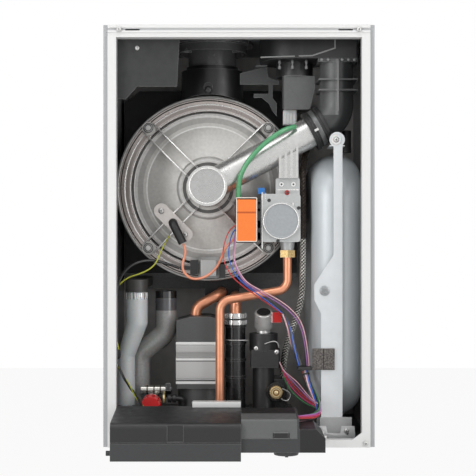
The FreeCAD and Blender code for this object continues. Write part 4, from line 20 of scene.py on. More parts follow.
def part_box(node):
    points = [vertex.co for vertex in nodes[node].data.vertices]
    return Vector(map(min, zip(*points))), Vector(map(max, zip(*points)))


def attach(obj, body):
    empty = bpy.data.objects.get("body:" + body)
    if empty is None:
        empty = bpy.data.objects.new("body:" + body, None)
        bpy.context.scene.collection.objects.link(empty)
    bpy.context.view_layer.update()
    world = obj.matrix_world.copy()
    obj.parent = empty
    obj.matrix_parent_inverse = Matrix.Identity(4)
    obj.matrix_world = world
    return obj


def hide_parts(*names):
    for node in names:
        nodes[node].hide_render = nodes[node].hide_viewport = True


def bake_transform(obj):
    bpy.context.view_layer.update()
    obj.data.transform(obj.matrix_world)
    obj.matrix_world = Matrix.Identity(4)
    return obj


mm = 0.001
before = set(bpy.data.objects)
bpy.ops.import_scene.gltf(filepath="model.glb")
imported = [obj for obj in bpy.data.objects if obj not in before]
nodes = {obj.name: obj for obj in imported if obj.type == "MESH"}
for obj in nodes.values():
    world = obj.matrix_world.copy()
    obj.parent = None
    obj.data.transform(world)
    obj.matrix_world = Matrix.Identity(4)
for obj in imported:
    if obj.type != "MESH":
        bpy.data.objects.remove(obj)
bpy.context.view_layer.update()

# %% [markdown]
# The camera looks straight at the open front.  A short lens close by would splay the casing's
# sides, so a long one stands nearly two metres off and keeps them almost parallel.  Its field
# of view is the angle that fits the width seen at the casing's front.

# %% Camera
front_plane = -0.345
camera_distance = 1.9
camera_side = -0.00165
camera_height = -0.2933
field_width = 0.7873
level_view = (math.pi / 2, 0, 0)

camera_data = bpy.data.cameras.new("camera")
camera_data.angle = 2 * math.atan(field_width / 2 / camera_distance)
camera = bpy.data.objects.new("camera", camera_data)
camera.location = (camera_side, front_plane - camera_distance, camera_height)
camera.rotation_euler = level_view
bpy.context.scene.collection.objects.link(camera)
bpy.context.scene.camera = camera
bpy.context.scene.view_settings.view_transform = "Standard"
print(f"camera angle {math.degrees(camera_data.angle):.2f} degrees")

# %% [markdown]
# Materials and the room are small networks of nodes.  Writing out every node takes many
# lines, so three helpers add a node, link two sockets and do one step of arithmetic.


# %% Node helpers
def link(tree, start, end):
    tree.links.new(start, end)


def add(tree, kind, **settings):
    item = tree.nodes.new(f"ShaderNode{kind}")
    for name, value in settings.items():
        setattr(item, name, value)
    return item


def calculate(tree, operation, first, second=None):
    item = add(tree, "Math", operation=operation)
    for socket, value in zip(item.inputs, (first, second)):
        if isinstance(value, (int, float)):
            socket.default_value = value
        elif value is not None:
            link(tree, value, socket)
    return item.outputs[0]


# %% [markdown]
# The room gives an even glow.  A strong glow would wash the metal out, and a weak one leaves
# the background grey.  So the pale background is made by the kind of ray: a ray that comes
# from the camera, or from a mirror-like surface, meets plain white, and the rays that carry
# light meet the weaker glow.


# %% Room light
def seen_directly(tree):
    """One for rays from the camera, a mirror or glass; nought for those that carry light."""
    path = add(tree, "LightPath")
    shiny = calculate(tree, "MAXIMUM", path.outputs["Is Glossy Ray"], path.outputs["Is Transmission Ray"])
    return calculate(tree, "MAXIMUM", path.outputs["Is Camera Ray"], shiny)


def mix_for_view(tree, share, unseen, seen, output):
    """Show one shader to rays that see directly and another to the rest."""
    choose = add(tree, "MixShader")
    link(tree, share, choose.inputs[0])
    link(tree, unseen.outputs[0], choose.inputs[1])
    link(tree, seen.outputs[0], choose.inputs[2])
    link(tree, choose.outputs[0], tree.nodes[output].inputs["Surface"])


room_strength = 0.46
white_light = (1, 1, 1, 1)

world = bpy.data.worlds.new("room")
bpy.context.scene.world = world
world.use_nodes = True
tree = world.node_tree
glow = tree.nodes["Background"]
plain = add(tree, "Background")
for background in (plain, glow):
    background.inputs["Color"].default_value = white_light
glow.inputs["Strength"].default_value = room_strength
mix_for_view(tree, seen_directly(tree), glow, plain, "World Output")
print("room glow", room_strength)

# %% [markdown]
# A boiler has no floor of its own, but a pale one below it takes a soft shadow and shows how
# high it hangs.  It is one large square, on no body, so it isn't part of the object.

# %% Floor
floor_height = -1.0
floor_reach = 4.0
floor_whiteness = 0.9
floor_roughness = 0.8

floor_mesh = bpy.data.meshes.new("floor")
corners = [(x * floor_reach, y * floor_reach, floor_height) for x,
    y in ((-1, -1), (1, -1), (1, 1), (-1, 1))]
floor_mesh.from_pydata(corners, [], [(0, 1, 2, 3)])
floor = bpy.data.objects.new("floor", floor_mesh)
bpy.context.scene.collection.objects.link(floor)
floor_material = bpy.data.materials.new("pale floor")
floor_material.use_nodes = True
tree = floor_material.node_tree
shade = tree.nodes["Principled BSDF"]
shade.inputs["Base Color"].default_value = (floor_whiteness, floor_whiteness, floor_whiteness, 1)
shade.inputs["Roughness"].default_value = floor_roughness
white = add(tree, "Emission")
pale_share = calculate(tree, "MULTIPLY", seen_directly(tree), floor_whiteness)
mix_for_view(tree, pale_share, shade, white, "Material Output")
floor_mesh.materials.append(floor_material)
print("floor at", floor_height)

# %% [markdown]
# A studio lights such a boiler with large soft boxes, one at each side and one above.  Area
# lamps give their broad, soft highlights on pipe and casting, which a point lamp can't.


# %% Soft boxes
def soft_box(name, place, width, height, power):
    data = bpy.data.lights.new(name, "AREA")
    data.shape = "RECTANGLE"
    data.size = width
    data.size_y = height
    data.energy = power
    lamp = bpy.data.objects.new(name, data)
    lamp.location = place
    lamp.rotation_euler = (middle_of_boiler - Vector(place)).to_track_quat("-Z", "Y").to_euler()
    bpy.context.scene.collection.objects.link(lamp)
    print(name, power, "W")


middle_of_boiler = Vector((0, -0.3, -0.3))
box_short = 0.9
box_tall = 1.8
box_wide = 1.6
soft_box("left soft box", (-1.5, -2.0, 0.2), box_short, box_tall, power=20)
soft_box("right soft box", (1.5, -2.0, 0.2), box_short, box_tall, power=16)
soft_box("top soft box", (0, -1.4, 1.6), box_wide, box_short, power=12)

# %% [markdown]
# Colours are written as they look on a screen, from 0 to 255, and turned into the linear
# values that light needs.  Places are read from the mesh itself, because a node's mesh keeps
# the boiler's own coordinates, so grain has the same size on every piece.


# %% Colour and place helpers
screen_white = 255
noise_detail = 3
even = (1, 1, 1)


def paint(colour):
    shares = [part / screen_white for part in colour]
    return tuple(Color(shares).from_srgb_to_scene_linear())


def object_place(tree, stretch=even):
    place = add(tree, "TexCoord").outputs["Object"]
    if stretch == even:
        return place
    mapping = add(tree, "Mapping")
    mapping.inputs["Scale"].default_value = stretch
    link(tree, place, mapping.inputs["Vector"])
    return mapping.outputs[0]


def noise(tree, grain_size, stretch=even):
    item = add(tree, "TexNoise")
    item.inputs["Scale"].default_value = 1 / (grain_size * mm)
    item.inputs["Detail"].default_value = noise_detail
    link(tree, object_place(tree, stretch), item.inputs["Vector"])
    return item.outputs["Fac"]


def spread(tree, value, low, high, start=0.25, end=0.75):
    """Carry a value from start..end to low..high."""
    item = add(tree, "MapRange")
    for name, amount in (("From Min", start), ("From Max", end), ("To Min", low), ("To Max", high)):
        item.inputs[name].default_value = amount
    link(tree, value, item.inputs["Value"])
    return item.outputs[0]


def blend_colours(tree, share, first, second):
    """Mix two colours; each of the three is a plain value or another node's socket."""
    item = add(tree, "Mix", data_type="RGBA")
    factor, first_colour, second_colour = item.inputs["Factor"], item.inputs[6], item.inputs[7]
    for socket, value in ((factor, share), (first_colour, first), (second_colour, second)):
        if isinstance(value, (int, float)):
            socket.default_value = value
        elif isinstance(value, tuple):
            socket.default_value = (*value, 1)
        else:
            link(tree, value, socket)
    return item.outputs[2]


# %% [markdown]
# One moulding or casting often shows two tones: a dark foot, a machined ring, an edge pale with wear and
# painted highlight.
# Cutting the mesh for that would change its shape, so masks pick the place out instead: a
# box, a ring about an axis that runs from back to front, or the strip next to an edge.


# %% Masks
def inside_box(tree, low, high):
    """One inside the box between two corners, nought outside it."""
    middle = [(a + b) / 2 * mm for a, b in zip(low, high)]
    half = [(b - a) / 2 * mm for a, b in zip(low, high)]
    steps = object_place(tree)
    for operation, value in (("SUBTRACT", middle), ("DIVIDE", half), ("ABSOLUTE", None)):
        item = add(tree, "VectorMath", operation=operation)
        link(tree, steps, item.inputs[0])
        if value:
            item.inputs[1].default_value = value
        steps = item.outputs[0]
    parts = add(tree, "SeparateXYZ")
    link(tree, steps, parts.inputs[0])
    largest = calculate(tree, "MAXIMUM", parts.outputs[0], parts.outputs[1])
    return calculate(tree, "LESS_THAN", calculate(tree, "MAXIMUM", largest, parts.outputs[2]), 1)


def inside_ring(tree, centre, low, high):
    """One between two radii about an axis that runs from back to front."""
    parts = add(tree, "SeparateXYZ")
    link(tree, object_place(tree), parts.inputs[0])
    across = calculate(tree, "SUBTRACT", parts.outputs[0], centre[0] * mm)
    along = calculate(tree, "SUBTRACT", parts.outputs[2], centre[1] * mm)
    square = calculate(tree, "ADD", calculate(tree, "MULTIPLY", across, across),
        calculate(tree, "MULTIPLY", along, along))
    return calculate(tree, "MULTIPLY", calculate(tree, "GREATER_THAN", square, (low * mm) ** 2),
        calculate(tree, "LESS_THAN", square, (high * mm) ** 2))


edge_samples = 4
edge_turned = 0.7
edge_flat = 0.99


def near_edges(tree, width):
    """One where the surface turns within a width, as the rounded normal there shows."""
    rounded = add(tree, "Bevel", samples=edge_samples)
    rounded.inputs["Radius"].default_value = width * mm
    agree = add(tree, "VectorMath", operation="DOT_PRODUCT")
    link(tree, rounded.outputs[0], agree.inputs[0])
    link(tree, add(tree, "NewGeometry").outputs["Normal"], agree.inputs[1])
    return spread(tree, agree.outputs["Value"], 1, 0, start=edge_turned, end=edge_flat)


# %% [markdown]
# Every finish starts from the same few moves.  Fine noise breaks up the colour, a coarser
# noise shifts the roughness, and the finest one lifts the surface a little.  A flat colour
# would look like paper, and an image of each surface would tie the finish to one place.

# %% Finish
# Edges are mixed towards this grey: partly wear, partly a painted highlight on rounded edges.
worn_and_sheen_grey = (0.75, 0.75, 0.75)
glossy_share = 0.85
matt_share = 1.2
gloss_grain_ratio = 3
scatter_depth = 4
lift_strength = 0.5


def finish(name, colour, roughness, metallic=0, tint=0.12, grain=4, depth=0.04, fine=0.6, stretch=even,
        patches=(), rings=(), soft=0, wear=0, wear_width=1.2, coat=0):
    """A finish with uneven colour, uneven gloss and a fine lifted grain.

    grain, depth, fine and the pale edge's width are sizes in millimetres.  patches lists (box, colour)
    pairs that have another colour, rings lists (centre, low radius, high radius, colour),
    and the edge share is how far edges go pale, as wear and as a painted highlight.
    """
    material = bpy.data.materials.new(name)
    material.use_nodes = True
    tree = material.node_tree
    shader = tree.nodes["Principled BSDF"]
    base = paint(colour)
    for corners, other in patches:
        base = blend_colours(tree, inside_box(tree, *corners), base, paint(other))
    for *ring, other in rings:
        base = blend_colours(tree, inside_ring(tree, *ring), base, paint(other))
    darker = blend_colours(tree, 1 - tint, (0, 0, 0), base)
    base = blend_colours(tree, spread(tree, noise(tree, grain, stretch=stretch), 0, 1), darker, base)
    if wear:
        share = calculate(tree, "MULTIPLY", near_edges(tree, wear_width), wear)
        base = blend_colours(tree, share, base, worn_and_sheen_grey)
    link(tree, base, shader.inputs["Base Color"])
    gloss = noise(tree, grain * gloss_grain_ratio, stretch=stretch)
    link(tree, spread(tree, gloss, roughness * glossy_share, min(1, roughness * matt_share)),
        shader.inputs["Roughness"])
    shader.inputs["Metallic"].default_value = metallic
    shader.inputs["Subsurface Weight"].default_value = soft
    shader.inputs["Subsurface Scale"].default_value = scatter_depth * mm
    shader.inputs["Coat Weight"].default_value = coat
    bump = add(tree, "Bump")
    bump.inputs["Distance"].default_value = depth * mm
    bump.inputs["Strength"].default_value = lift_strength
    link(tree, noise(tree, fine, stretch=stretch), bump.inputs["Height"])
    link(tree, bump.outputs[0], shader.inputs["Normal"])
    return material


def dress(pieces, material):
    """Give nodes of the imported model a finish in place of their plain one."""
    for piece in pieces.split():
        item = nodes[piece]
        if not item.material_slots:
            item.data.materials.append(material)
        for slot in item.material_slots:
            slot.material = material
    print(material.name, "on", pieces)


def cover(pieces, name, *look, **more):
    """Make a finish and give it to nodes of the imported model."""
    dress(pieces, finish(name, *look, **more))

# %% [markdown]
# The casing is folded steel with a white powder coat, nearly smooth with a faint orange-peel
# texture, and its inside is painted grey.  Two-faced sheet could be two materials on
# one mesh, but a box mask colours the inside without touching the faces.

# %% Casing
inner_grey = (112, 114, 116)
coat_grey = (172, 174, 176)
inside_casing = ((-224, -338, -700), (224, 10, 100))
rail_seam = ((-240, -385, 50), (240, -338, 53.5))
# The plate's top band has its own tone, painted shading along the plate's fold.
plate_fold_shading = ((-220, -330, 47), (-90, -305, 60))
skin_depth = 0.4
top_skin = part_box("top_panel")[1][2] / mm - skin_depth
below_skin = ((-230, -400, -700), (230, 20, top_skin))
cover("front_frame", "powder coat", (222, 222, 221), 0.42, tint=0.02, fine=0.9, depth=0.03,
    patches=[(rail_seam, (196, 197, 198))], wear=0.15)
cover("side_panels", "side coat", coat_grey, 0.45, tint=0.03, depth=0.03,
    patches=[(inside_casing, (150, 151, 151))])
cover("back_panel", "galvanised back", (226, 224, 221), 0.5, metallic=0.1, tint=0.16, grain=20)
cover("top_panel", "top coat", coat_grey, 0.45, tint=0.03, depth=0.03, patches=[(below_skin, inner_grey)])
cover("bottom_panel", "inner grey", inner_grey, 0.55, wear=0.2)
cover("label_plate", "dark plate", (37, 39, 38), 0.6, tint=0.06, wear=0.25,
    patches=[(plate_fold_shading, (40, 41, 40))])

# %% [markdown]
# Plastics inside are glass-filled black mouldings with a satin face.  A little unevenness in
# gloss shows where the mould's grain changes, and edges are painted slightly pale, as wear and as a
# painted highlight.  One black for all of them would merge the fan, the flue and the drum, so each has its
# own.

# %% Mouldings
black = (37, 37, 38)
deep_black = (27, 27, 28)
motor_cap = ((78, -260, -72), (134, -190, -11))
# Painted light on the air elbow: a facet painted lighter as lit, and a painted highlight along its edge.
elbow_lit_facet = ((134, -310, -84), (164, -260, 11))
elbow_edge_highlight = ((164, -310, -84), (169, -260, 11))
housing_foot = ((-220, -70, -400), (120, 0, -360))
black_moulding = finish("black moulding", black, 0.42, tint=0.3, grain=6, fine=0.5, wear=0.12)
dress("diverter_valve vessel_tee", black_moulding)
cover("siphon_inlet", "siphon socket", (66, 65, 63), 0.42, tint=0.2, wear=0.2)
cover("flue_collector", "flue socket", (22, 22, 23), 0.38, tint=0.15, wear=0.2)
# The flue terminal is painted grey as a painted sheen on the black moulding.
cover("flue_terminal", "flue moulding", (88, 88, 89), 0.24, tint=0.15, wear=0.5)
cover("pump_volute", "pump foot", (74, 75, 75), 0.45, tint=0.1, wear=0.25)
cover("exchanger_housing", "housing", deep_black, 0.5, tint=0.3, wear=0.05,
    patches=[(housing_foot, (140, 141, 142))])
cover("hydraulic_block", "glossy column", (24, 24, 25), 0.25, tint=0.2, wear=0.2)
cover("fan_scroll", "fan scroll", (36, 36, 37), 0.42, tint=0.2, wear=0.15)
cover("fan_motor", "fan motor", (40, 40, 41), 0.42, tint=0.15, wear=0.2,
    patches=[(motor_cap, (98, 99, 99))])
cover("air_elbow", "air elbow", (50, 51, 52), 0.4, tint=0.15, wear=0.25,
    patches=[(elbow_lit_facet, (90, 91, 91)), (elbow_edge_highlight, (122, 122, 122))])
cover("pump_cap", "pump cap", (72, 73, 73), 0.45, tint=0.1, wear=0.25)
cover("fan_impeller pump_impeller", "grey wheel", (150, 152, 154), 0.5)
cover("fan_support", "fan bracket", (76, 77, 78), 0.42, tint=0.15, wear=0.5)

# %% [markdown]
# The control box is moulded with a deeper grain, so that fingerprints don't show.  The lid's
# upper faces are painted lighter than its front as a painted highlight, and the cover's upper face is
# painted darker as painted shade.  Two narrow slots and the cover's window are dark too.  Masks give all of
# this without a cut in the shape.

# %% Control box
box_grain = dict(fine=0.8, depth=0.08)
tray_wing = ((94.5, -480, -640), (170, -250, -500))
# The lid's two tops are painted highlights, and the cover's top is painted shade.
lid_left_top_highlight = ((-208, -460, -564), (-105, -350, -560))
lid_right_top_highlight = ((-105, -460, -564), (4, -350, -560))
left_slot = ((-102.6, -480, -606), (-100.6, -460, -580))
right_slot = ((-81.2, -480, -606), (-79.2, -460, -580))
cover_top_shade = ((0, -462, -572), (93.5, -360, -565))
cover_window = ((52.3, -480, -603.1), (78.5, -460, -595.4))
cover("control_tray", "grained tray", (52, 53, 54), 0.48, fine=0.8, depth=0.1, wear=0.2,
    patches=[(tray_wing, (12, 12, 12))])
cover("control_lid", "grained lid", (29, 29, 30), 0.42, wear=0.25, **box_grain,
    patches=[(lid_left_top_highlight, (58, 58, 58)), (lid_right_top_highlight, (90, 88, 86)), (left_slot, deep_black),
    (right_slot, deep_black)])
cover("terminal_cover", "terminal lid", (92, 93, 93), 0.45, tint=0.08, wear=0.2, **box_grain,
    patches=[(cover_top_shade, (14, 14, 14)), (cover_window, (20, 20, 20))])
cover("heating_dial water_dial", "dial", (58, 58, 59), 0.45, wear=0.3)
cover("rubber_coupling electrode_boot vessel_membrane", "rubber", (30, 30, 30), 0.5, tint=0.2, wear=0.2,
    wear_width=2)

# %% [markdown]
# Coloured plastics mark what a fitter must find: the orange ignition case, the red relief
# knob and the green board.  Plugs, levers and seams have a colour of their own, and a mask
# sets each of them where it lies on the moulding.

# %% Coloured mouldings
case_seam = ((-10, -305, -251.5), (34, -230, -248.5))
blue_plug = ((33.1, -280, -217.6), (50, -240, -200))
left_plug = ((-105, -222, -359), (-72.2, -205, -331))
right_plug = ((-34.8, -222, -365), (-23, -205, -339))
red_lever = ((58.8, -240, -445), (90, -190, -400))
cover("igniter_case", "orange case", (243, 126, 52), 0.4, tint=0.06, patches=[(case_seam, (188, 84, 28))])
cover("igniter_frame", "igniter frame", black, 0.45, wear=0.3, patches=[(blue_plug, (30, 120, 205))])
cover("relief_knob", "red knob", (200, 40, 42), 0.35, wear=0.05, coat=0.2)
cover("control_board", "board", (30, 98, 62), 0.4)
cover("limit_thermostat", "thermostat", (176, 178, 178), 0.4, tint=0.08, wear=0.2,
    patches=[(left_plug, black), (right_plug, black)])
cover("diverter_actuator", "actuator", (226, 226, 224), 0.3, metallic=0.55, wear=0.2,
    patches=[(red_lever, (190, 40, 38))], stretch=(1, 1, 8))

# %% [markdown]
# The siphon is milky polypropylene, which lets light in and scatters it.  Plain paint looks
# dead on it.  A share of scattering under the surface and a thin clear coat give its glow.

# %% Milky mouldings
siphon_rim = ((-220, -260, -400), (-155, -200, -387))
trap_collar = ((-160, -220, -400), (-100, -160, -387))
trap_neck = ((-160, -220, -422), (-100, -160, -400))
cover("siphon", "siphon grey", (206, 211, 212), 0.3, tint=0.06, soft=0.3, coat=0.3,
    patches=[(siphon_rim, (232, 232, 232))])
cover("siphon_trap", "milky tube", (158, 158, 156), 0.2, tint=0.2, soft=0.4, coat=0.5,
    patches=[(trap_collar, deep_black), (trap_neck, (84, 86, 90))])

# %% [markdown]
# Sand-cast aluminium is matt and grainy.  The burner door's grey changes in rings about the
# drum's axis, painted highlights and painted shade for how light falls on its sloped rings and pockets.
# An image could hold the rings, but rings that are computed from the distance to the axis stay sharp however
# near the camera comes.

# %% Castings
drum_axis = (-54, -205)
valve_axis = (71.5, -264.5)
cast_grain = dict(grain=5, fine=1.1)
# Painted light on the door: the bright rim band and thin bright rings are painted highlights, the band from
# 116.5 to 126.5 mm is painted shade, the face is lightened against its dish's shade, and the dark ring round
# the hub is painted shade in its pockets.
door_light_rings = [(126.5, 135, (214, 212, 210)), (116.5, 126.5, (174, 172, 169)), (108.5, 111, (236, 235, 233)),
    (56, 108.5, (213, 211, 207)), (48, 50, (214, 213, 212)), (52, 54, (214, 213, 212)),
    (39, 45, (92, 91, 90))]
door_casting = finish("door casting", (203, 201, 197), 0.38, metallic=0.3, tint=0.16, depth=0.22, wear=0.5,
    wear_width=1.6, **cast_grain, rings=[(drum_axis, *tone) for tone in door_light_rings])
dress("burner_door", door_casting)
cover("mixing_head", "mixing casting", (206, 206, 204), 0.27, metallic=0.75, depth=0.1, wear=0.4,
    **cast_grain, rings=[(drum_axis, 0, 28.5, (182, 182, 181))])
cover("gas_valve", "valve casting", (186, 188, 188), 0.36, metallic=0.45, tint=0.14, fine=1.1, depth=0.1,
    wear=0.7, rings=[(valve_axis, 0, 29.5, (164, 168, 171))])

# %% [markdown]
# Drawn stainless steel is smooth, zinc plate is a little cloudy, and copper has a warm
# tarnish.  The same finish with other shares of gloss and metal tells them apart.

# %% Sheet and turned metal
# On the pressed ring, the dark ring at 156 to 158.2 mm is painted shade in its groove; the black ring is the
# gap round the door.
plate_tones = [(134.5, 138, (20, 20, 20)), (142.5, 148, (150, 142, 138)), (156, 158.2, (40, 38, 37))]
steel = dict(colour=(150, 149, 147), roughness=0.3, metallic=0.9, grain=10, depth=0.03)
header_box = ((-70, -145, -415), (10, -100, -340))
zinc = finish("zinc plate", (205, 205, 203), 0.35, metallic=0.6, tint=0.15, grain=8, wear=0.4)
brass = finish("brass", (214, 184, 128), 0.25, metallic=0.85, tint=0.15, wear=0.4)
chrome = finish("chrome", (205, 205, 204), 0.18, metallic=0.9, tint=0.1, wear=0.3)
cover("front_plate", "pressed ring", (196, 186, 181), 0.28, metallic=0.6, tint=0.1, grain=10, depth=0.03,
    wear=0.3, rings=[(drum_axis, *tone) for tone in plate_tones])
cover("exchanger_shell burner_tube", "stainless", **steel)
cover("heating_coil", "coil steel", **steel, patches=[(header_box, (38, 38, 39))])
dress("fasteners", zinc)
cover("ignition_electrodes", "electrode plate", (206, 200, 196), 0.33, metallic=0.6, grain=6, wear=0.5)
cover("vessel_strap", "strap steel", (212, 215, 217), 0.38, metallic=0.4, tint=0.08, grain=20, wear=0.6,
    wear_width=1.6)
cover("vessel_shells", "vessel paint", (199, 205, 208), 0.34, metallic=0.1, tint=0.05, grain=30)
cover("gas_pipe copper_pipes", "copper", (226, 156, 122), 0.34, metallic=0.7, tint=0.16, grain=12,
    depth=0.02)
dress("brass_fittings pipe_tails diverter_stem", brass)
dress("pipe_nuts", chrome)

# %% [markdown]
# The relief valve's body is turned with three grooves and ends in a black coupling.  The
# pump's can is brushed round and round, with bands where its parts meet.  A mask about each
# groove and band colours it: the valve's grooves are painted darker, the pump's narrow bright bands are
# painted highlights and its narrow dark ones painted shade, and a stretched noise draws the brush marks.

# %% Relief valve and pump
groove_width = 2.4
valve_grooves = [(((start, -262, -590), (start + groove_width, -200, -540)), (74, 70, 64))
    for start in (-162, -150, -139)]
coupling_box = ((-129, -262, -580), (-117, -200, -548))
cover("safety_valve", "relief valve body", (200, 198, 192), 0.22, metallic=0.8, tint=0.3, wear=0.3,
    patches=[(coupling_box, black), *valve_grooves])

# On the pump, the narrow bright bands are painted highlights and the narrow dark ones painted shade.
pump_tones = [(-480, -475, (226, 226, 225)), (-491, -482, (178, 178, 177)), (-503.5, -493, (152, 152, 151)),
    (-506.5, -503.5, (228, 228, 227)), (-509, -507.5, (90, 90, 90)), (-543, -541, (70, 70, 70)),
    (-549, -544, (230, 230, 229))]
pump_bands = [(((-200, -300, low), (0, 0, high)), tone) for low, high, tone in pump_tones]
cover("pump_motor", "pump aluminium", (188, 188, 187), 0.4, metallic=0.45, tint=0.1, stretch=(1, 1, 12),
    patches=pump_bands, wear=0.4)

# %% [markdown]
# Leads are soft tubes that hang between two fixed ends.  A chain of straight tubes would
# kink.  Each one is a NURBS curve instead, drawn by a few guide points that are given as x,
# depth in front of the wall and drop below the wall fixings.  It passes near them smoothly.

# %% Lead helpers
bevel_steps = 4
curve_steps = 12


def lead_curve(name, points, diameter):
    data = bpy.data.curves.new(name, "CURVE")
    data.dimensions = "3D"
    data.bevel_depth = diameter / 2 * mm
    data.bevel_resolution = bevel_steps
    data.use_fill_caps = True
    data.resolution_u = curve_steps
    spline = data.splines.new("NURBS")
    spline.points.add(len(points) - 1)
    for point, (x, depth, drop) in zip(spline.points, points):
        point.co = (x * mm, -depth * mm, -drop * mm, 1)
    spline.order_u = 3
    spline.use_endpoint_u = True
    curve = bpy.data.objects.new(name, data)
    bpy.context.scene.collection.objects.link(curve)
    return curve


def lay_lead(name, points, diameter, material, node="wiring"):
    """A curve that rides on the casing and, where it has one, replaces a plain node."""
    curve = lead_curve(name, points, diameter)
    curve.data.materials.append(material)
    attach(curve, "casing")
    if node:
        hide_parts(node)
    print(name, "through", len(points), "guide points")


# %% [markdown]
# The thermostat on the burner door has a black cable, the door has a yellow earth lead, and
# the electrode has a thick salmon ignition lead.  The first two drop side by side to a clip at
# the left wall, and the third swings under the thermostat to the ignition case.

# %% Thermostat leads
sheath_black = finish("black sheath", (34, 34, 35), 0.35, tint=0.2, coat=0.2)
salmon = finish("salmon sheath", (232, 150, 118), 0.3, tint=0.08, coat=0.3)
earth_yellow = finish("earth yellow", (196, 200, 70), 0.35, tint=0.15, grain=8)
lay_lead("black_cable", [(-105.4, 213.5, 346.5), (-122, 220, 340), (-145, 230, 333), (-169, 240, 333),
    (-190, 247, 342), (-206, 250, 361), (-213, 250, 388), (-215, 250, 425), (-213, 253, 462),
    (-213, 256, 486.5)], 5, sheath_black)
lay_lead("earth_lead", [(-122.8, 217.2, 288.9), (-130, 222, 302), (-138, 232, 319), (-143, 238, 333),
    (-149, 241.5, 342), (-158, 245, 349), (-173, 250, 356), (-193, 250.5, 361.5), (-213, 248, 378),
    (-217, 246, 408), (-217, 246, 440), (-213.5, 252, 468), (-208, 256, 486.5)], 2.6, earth_yellow)
lay_lead("ignition_lead", [(-97.2, 247, 303.1), (-91, 247, 315), (-98, 246, 335), (-98, 245, 352),
    (-82, 245, 366), (-58, 247, 362), (-39, 254, 346), (-29, 262, 325), (-22, 269, 306), (-5.6, 270, 293)],
    4.6, salmon)

# %% [markdown]
# Four thin wires leave the ignition case in a loop.  Two of them end in the upper sheath, and
# the other two go on beside it to the right clip.  Each has its own curve, because they part
# and cross; a bundle that winds evenly would look like a rope.

# %% Thin wires
wire_red = finish("red wire", (196, 46, 44), 0.3, tint=0.1, coat=0.3)
wire_blue = finish("blue wire", (44, 92, 190), 0.3, tint=0.1, coat=0.3)
wire_violet = finish("violet wire", (168, 110, 178), 0.3, tint=0.1, coat=0.3)
wire_white = finish("pale wire", (214, 168, 176), 0.3, tint=0.06, coat=0.3)
thin_lead = 2

lay_lead("red_wire", [(-4.7, 280, 271), (-14.5, 282, 276), (-24.5, 281, 298), (-29, 277, 327),
    (-14, 280, 358), (6, 284, 375), (33, 288, 394), (55, 289, 409), (72.5, 289, 422)], thin_lead, wire_red)
lay_lead("blue_wire", [(-4.7, 282, 277), (-11, 282, 283), (-16.5, 280, 303), (-18.5, 279, 329),
    (-6, 283, 357), (9, 287, 372), (35, 291, 391), (57, 292, 407), (73.5, 292, 421)], thin_lead, wire_blue)
lay_lead("violet_wire", [(-4.7, 284, 283), (-7.5, 279, 289), (-8.5, 274, 306), (-10.5, 275, 330),
    (0, 280, 356), (12, 288, 372), (44, 294, 390), (76, 295, 408), (103, 295, 435), (113, 295, 475),
    (116, 294, 510.4)], thin_lead, wire_violet)
lay_lead("white_wire", [(-4.7, 286, 287), (-6, 281, 293), (-6.5, 274, 310), (-8.5, 275, 333), (3, 281, 356),
    (15, 290, 371), (47, 297, 387), (79, 298, 405), (106, 298, 432), (116, 298, 475), (119, 297, 510.4)],
    thin_lead, wire_white)

# %% [markdown]
# A green hose of soft plastic hangs from the fan's side down to the ignition case.  It is the
# same kind of curve as the wires, with a wider bevel and a little scattering.

# %% Green hose
green_plastic = finish("green hose", (82, 158, 108), 0.28, tint=0.1, soft=0.1, coat=0.5)
lay_lead("green_condensate_hose", [(95.5, 290.8, 104), (80, 301, 108), (59, 305, 121), (38, 305, 138),
    (19, 304, 158), (5, 302, 180), (-1, 296, 202), (-1, 290, 224.2)], 8.6, green_plastic, "green_hose")

# %% [markdown]
# A braid or a bundle is made of strands that wind about one line.  A bevelled curve can't
# wind.  So the line is read from the route's own NURBS spline, a pair of crosswise directions
# is carried along it without twisting, and a small tube is swept beside it for each strand.


# %% Strand helpers
def read_line(points):
    """Points along the smooth line that a route's NURBS spline makes."""
    curve = lead_curve("route", points, 0)
    curve.data.use_fill_caps = False
    mesh = bpy.data.meshes.new_from_object(curve)
    line = [vertex.co.copy() for vertex in mesh.vertices]
    bpy.data.objects.remove(curve)
    bpy.data.meshes.remove(mesh)
    return line


def finer(line, parts):
    """A line with each run cut into equal parts."""
    cut = [first.lerp(second, part / parts) for first, second in zip(line, line[1:])
        for part in range(parts)]
    return cut + [line[-1]]


def carry_frame(line):
    """Each point with two crosswise directions and the length run so far."""
    ahead = (line[1] - line[0]).normalized()
    side = ahead.orthogonal().normalized()
    run = 0
    result = []
    for index, point in enumerate(line):
        before = line[max(index - 1, 0)]
        after = line[min(index + 1, len(line) - 1)]
        ahead = (after - before).normalized()
        side = (side - ahead * side.dot(ahead)).normalized()
        run += (point - before).length
        result.append((point, side, ahead.cross(side), run))
    return result


def circle_point(point, side, up, radius, angle):
    return point + side * radius * mm * math.cos(angle) + up * radius * mm * math.sin(angle)


def wind(line, reach, turn_length, start_angle):
    """A line that winds about another at a reach, once in each turn length."""
    return [circle_point(point, side, up, reach, start_angle + 2 * math.pi * run / (turn_length * mm))
        for point, side, up, run in carry_frame(line)]


def sweep_tube(mesh, line, radius, sides, material_index=0):
    rings = [[mesh.verts.new(circle_point(point, side, up, radius, 2 * math.pi * step / sides))
        for step in range(sides)] for point, side, up, _ in carry_frame(line)]
    for first, second in zip(rings, rings[1:]):
        for step in range(sides):
            after = (step + 1) % sides
            face = mesh.faces.new((first[step], first[after], second[after], second[step]))
            face.material_index = material_index
    for ends in (rings[0][::-1], rings[-1]):
        mesh.faces.new(ends).material_index = material_index


# %% [markdown]
# Every mesh piece is finished alike: its normals are made to face out, its faces are shaded
# smooth up to a crease, and it is tied to the body that carries it.  One function does this,
# so that no piece is forgotten.

# %% Mesh pieces
crease = math.radians(35)


